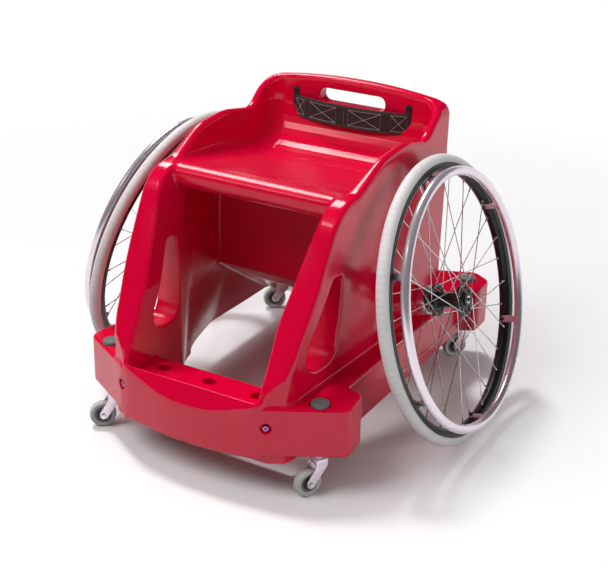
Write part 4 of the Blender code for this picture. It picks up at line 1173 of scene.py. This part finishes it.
def strap_point(along, across, out=0.0):
    """A place on the strap's front: along runs -1 to 1 from end to end, across 0 to 1 up its width. The
    bow falls off with along ** 2.4, so it is flat in the middle and turns in at the tabs."""
    x = STRAP_X * along
    y = STRAP_BACK_Y - STRAP_THICK - STRAP_BOW * (1 - np.abs(along) ** 2.4) - out
    z = STRAP_LOW + (STRAP_HIGH - STRAP_LOW) * across
    return np.stack(np.broadcast_arrays(x, y, z), axis=-1)


# %% Webbing: diagonal ribs of the weave, paler cords near both edges, worn patches
webbing = Finish("webbing", (0.018, 0.032, 0.027), 0.78, Sheen_Weight=0.08, Sheen_Roughness=0.5)
strap_map = webbing.add("UVMap", {"uv_map": "UVMap"})
along, across, _ = webbing.parts(strap_map)
weave = (across * 190.0).wave() * (along * 620.0 + (across * 95.0).wave() * 1.2).wave()
cords = across.near(0.055, 0.035) + across.near(0.945, 0.035)
fuzz = webbing.noise(420.0, 4.0)
shade = (weave * 0.5 + 0.5) * 0.6 + fuzz * 0.4
woven = webbing.blend(shade, (0.008, 0.013, 0.011), (0.046, 0.060, 0.055))
worn = webbing.noise(26.0, 3.0, strap_map).ramp(0.45, 0.75)
woven = webbing.blend(worn * 0.3, woven, (0.060, 0.072, 0.067))
webbing.set(Base_Color=webbing.blend(cords * 0.4, woven, (0.10, 0.115, 0.108)), Roughness=fuzz * 0.2 + 0.68)
webbing.relief(weave * 0.6 + cords * 1.5, 0.0003)

# %% The band
STRAP_COLUMNS, STRAP_ROWS = 96, 14
along = np.linspace(-1, 1, STRAP_COLUMNS)[:, None]
across = np.linspace(0, 1, STRAP_ROWS)[None, :]
edge_roll = 0.0008 * bump(across, 0.06, 0.05) + 0.0008 * bump(across, 0.94, 0.05)
front = strap_point(along, across, edge_roll)
rear = strap_point(along, across, -STRAP_THICK)
loop = np.concatenate([front, rear[:, ::-1]], axis=1)
round_loop = np.concatenate([across, across[:, ::-1]], axis=1)
flat = np.stack(np.broadcast_arrays(along * 0.5 + 0.5, round_loop), axis=-1)
make("back_band", capped(loop), webbing, "chair", ["back_strap"], 50, flat.reshape(-1, 2))
middle_line = strap_point(np.linspace(-1, 1, STRAP_COLUMNS), 0.5)
length = np.sum(np.linalg.norm(np.diff(middle_line, axis=0), axis=1))
print("strap:", round(1000 * length), "mm along its bow")

# %% Stitching
STITCH, STITCH_GAP = 0.0030, 0.0012
STITCH_LOW, STITCH_HIGH = 0.14, 0.86
BOXES = ((-0.135, -0.110), (-0.093, -0.024), (0.006, 0.081), (0.103, 0.135))
SINGLE_LINE = -0.004
BEAD_AT = np.array([0.06, 0.2, 0.5, 0.8, 0.94])
BEAD_PROUD = np.array([-0.0002, 0.0003, 0.0005, 0.0003, -0.0002])
BEAD_R = [0.0002, 0.0004, 0.00045, 0.0004, 0.0002]
white_thread = soft_plastic("white_thread", (0.88, 0.88, 0.86), (0.80, 0.80, 0.78), 0.6, 900.0, 0.00003)


def stitches(start, end):
    """White beads along a line of the strap, from (metres along, 0 to 1 across) to another. Each bead is a
    short tube that sinks into the webbing at both ends."""
    start, end = np.array(start, float), np.array(end, float)
    size = np.hypot((end[0] - start[0]), (end[1] - start[1]) * (STRAP_HIGH - STRAP_LOW))
    pitch = STITCH + STITCH_GAP
    count = max(1, int(round(size / pitch)))
    beads = []
    for k in range(count):
        part = (k + BEAD_AT * STITCH / pitch) / count
        spot = start + (end - start) * part[:, None]
        line = strap_point(spot[:, 0] / STRAP_X, spot[:, 1], BEAD_PROUD)
        beads.append(swept(line, BEAD_R, 5))
    return beads


def crossed_box(left, right):
    """A stitched rectangle with both diagonals."""
    corners = [(left, STITCH_LOW), (right, STITCH_LOW), (right, STITCH_HIGH), (left, STITCH_HIGH)]
    beads = []
    for first, second in zip(corners, corners[1:] + corners[:1]):
        beads += stitches(first, second)
    return beads + stitches(corners[0], corners[2]) + stitches(corners[3], corners[1])


beads = []
for left, right in BOXES:
    beads += crossed_box(left, right)
beads += stitches((SINGLE_LINE, STITCH_LOW), (SINGLE_LINE, STITCH_HIGH))
make("strap_thread", beads, white_thread, "chair", sharp=60)
print("stitches:", len(beads))

# %% Strap tabs and bolts
TAB_HALF, TAB_THICK = 0.007, 0.0018
tab_parts = []
for sign, side in SIDES:
    x = sign * (STRAP_X - 0.003)
    tab = rounded([(x - TAB_HALF, STRAP_HIGH - 0.030, 0.002), (x + TAB_HALF, STRAP_HIGH - 0.030, 0.002),
                   (x + TAB_HALF, STRAP_HIGH + 0.018, 0.005), (x - TAB_HALF, STRAP_HIGH + 0.018, 0.005)], 6)
    low = -STRAP_BACK_Y
    tab_parts.append(moved(slab(tab, low, low + TAB_THICK, 0.0004), front_up))
    forward = Matrix.Rotation(math.pi / 2, 4, "X")
    out = Matrix.Translation((x, STRAP_BACK_Y - 0.0020, STRAP_HIGH + 0.0125)) @ forward
    head = socket_head(0.0058, 0.0034, 0.0032, 0.0036, 0.0032, -0.020)
    make("tab_bolt_" + side, moved(head, out), dark_plastic, "chair", ["strap_bolt_" + side],
         30)
make("strap_tabs", tab_parts, dark_plastic, "chair")

# %% [markdown]
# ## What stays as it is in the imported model
# The castor housings, their bearings and the axle tube keep their shape and get a real finish.

# %% Finishes of the nodes that stay
for name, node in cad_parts.items():
    if name.startswith(("castor_sleeve", "castor_bearing", "axle_tube")):
        node.data.materials.clear()
        node.data.materials.append(turned_steel.material)

# %% [markdown]
# ## Floor and light
# The chair stands on a plain white floor that runs far behind it. A sun nearly overhead draws the shadow; a
# wide soft box on the left fills the front, a weaker one the right. Gloss sees two boxes of its own, which
# give the long highlights on the seat and the knees. In gloss the room is bright low down and dark above.
# The floor is paler to the camera and to gloss than to its own bounced light, and far off it shows plain
# white, so that it runs into the background without an edge. To the right of the chair it also glows white
# to the camera and to gloss: painted light that pales the shadow of the right wheel there.

# %% Floor
def seen_by(tree, *kinds):
    """1 for rays of these kinds, which the Light Path node tells apart, else 0."""
    node = tree.nodes.new("ShaderNodeLightPath")
    signals = [Signal(tree, node.outputs[f"Is {kind} Ray"]) for kind in kinds]
    return sum(signals[1:], signals[0])


FLOOR_HALF = 14.0
FADE_FROM, FADE_TO = 0.9, 2.2
PAINTED_LIGHT_FROM_X, PAINTED_LIGHT_TO_X, PAINTED_LIGHT_SHARE = 0.30, 0.80, 0.80
pale_floor = Finish("pale_floor", roughness=0.6)
tree = pale_floor.tree
looked_at = seen_by(tree, "Camera", "Glossy", "Transmission")
speck = pale_floor.noise(3.0, 4.0).ramp(0.3, 0.8)
pale = pale_floor.blend(speck, (0.945, 0.935, 0.94), (0.925, 0.915, 0.92))
pale_floor.set(Base_Color=pale_floor.blend(looked_at, (0.42, 0.41, 0.415), pale))
reach = pale_floor.add("VectorMath", {"operation": "LENGTH"}, 1, Vector=pale_floor.place())
# To the right of the chair the floor glows white to the camera and to gloss: painted light that pales the
# wheel's shadow.
right, _, _ = pale_floor.parts(pale_floor.place())
painted_light_right = right.ramp(PAINTED_LIGHT_FROM_X, PAINTED_LIGHT_TO_X) * PAINTED_LIGHT_SHARE
backdrop_and_painted_light = reach.maths("MAXIMUM", reach.ramp(FADE_FROM, FADE_TO), painted_light_right)
white = tree.nodes.new("ShaderNodeEmission")
mixer = tree.nodes.new("ShaderNodeMixShader")
feed(tree, mixer.inputs[0], looked_at * backdrop_and_painted_light)
tree.links.new(pale_floor.shader.outputs[0], mixer.inputs[1])
tree.links.new(white.outputs[0], mixer.inputs[2])
tree.links.new(mixer.outputs[0], tree.nodes["Material Output"].inputs[0])
mesh = bpy.data.meshes.new("floor")
mesh.from_pydata([(-FLOOR_HALF, -FLOOR_HALF, 0), (FLOOR_HALF, -FLOOR_HALF, 0),
                  (FLOOR_HALF, FLOOR_HALF, 0), (-FLOOR_HALF, FLOOR_HALF, 0)], [], [(0, 1, 2, 3)])
mesh.materials.append(pale_floor.material)
floor = in_scene("floor", mesh)

# %% Room light
DARK, BRIGHT, BACKGROUND = 0.008, 0.90, 1.0
world = bpy.data.worlds.new("studio")
bpy.context.scene.world = world
world.use_nodes = True
tree = world.node_tree
room = tree.nodes["Background"]
feed(tree, room.inputs["Color"], (1.0, 1.0, 1.0))
seen = seen_by(tree, "Camera")
in_mirror = seen_by(tree, "Glossy", "Transmission")
direction = tree.nodes.new("ShaderNodeTexCoord")
split = tree.nodes.new("ShaderNodeSeparateXYZ")
tree.links.new(direction.outputs["Generated"], split.inputs[0])
deep, rise = Signal(tree, split.outputs[1]), Signal(tree, split.outputs[2])
ambient = rise.maths("MAXIMUM", rise, 0.0) * 0.38 + 0.02
wall = (rise - deep.ramp(0.2, 0.8) * 0.16).ramp(0.11, 0.05)
in_gloss = wall * (BRIGHT - DARK) + DARK
light = ambient + seen * (BACKGROUND - ambient) + in_mirror * (in_gloss - ambient)
feed(tree, room.inputs["Strength"], light)

# %% Lamps
AIM_HEIGHT = 0.35


def placed(light, way, distance):
    """A lamp seen from the chair in this direction, facing it."""
    lamp = in_scene(light.name, light)
    way = Vector(way).normalized()
    turn = way.to_track_quat("Z", "Y").to_matrix().to_4x4()
    lamp.matrix_world = Matrix.Translation(way * distance + Vector((0, 0, AIM_HEIGHT))) @ turn
    return lamp


def soft_box(name, way, distance, wide, tall, radiance):
    """An area lamp: its power is radiance x pi x area."""
    light = bpy.data.lights.new(name, "AREA")
    light.shape = "RECTANGLE"
    light.size = wide
    light.size_y = tall
    light.energy = radiance * math.pi * wide * tall
    return placed(light, way, distance)


def sun(name, way, strength, angle):
    """A sun of this many degrees across, so its shadows are a little soft."""
    light = bpy.data.lights.new(name, "SUN")
    light.energy = strength
    light.angle = math.radians(angle)
    return placed(light, way, 5.0)


fill = soft_box("lamp_front", (-0.45, -0.60, 0.90), 6.0, 3.4, 3.4, 5.2)
weaker = soft_box("lamp_right", (1.0, -0.20, 0.12), 4.0, 2.0, 2.0, 3.0)
above = sun("lamp_above", (-0.40, 0.20, 1.0), 1.6, 9)
for lamp in (fill, weaker, above):
    lamp.visible_glossy = False
gleam_behind = soft_box("gleam_behind", (-0.480, 0.41, 0.79), 4.0, 1.3, 1.8, 11.0)
gleam_front = soft_box("gleam_front", (-0.455, -0.50, 0.75), 4.0, 0.9, 0.40, 6.0)
for lamp in (gleam_behind, gleam_front):
    lamp.visible_diffuse = False
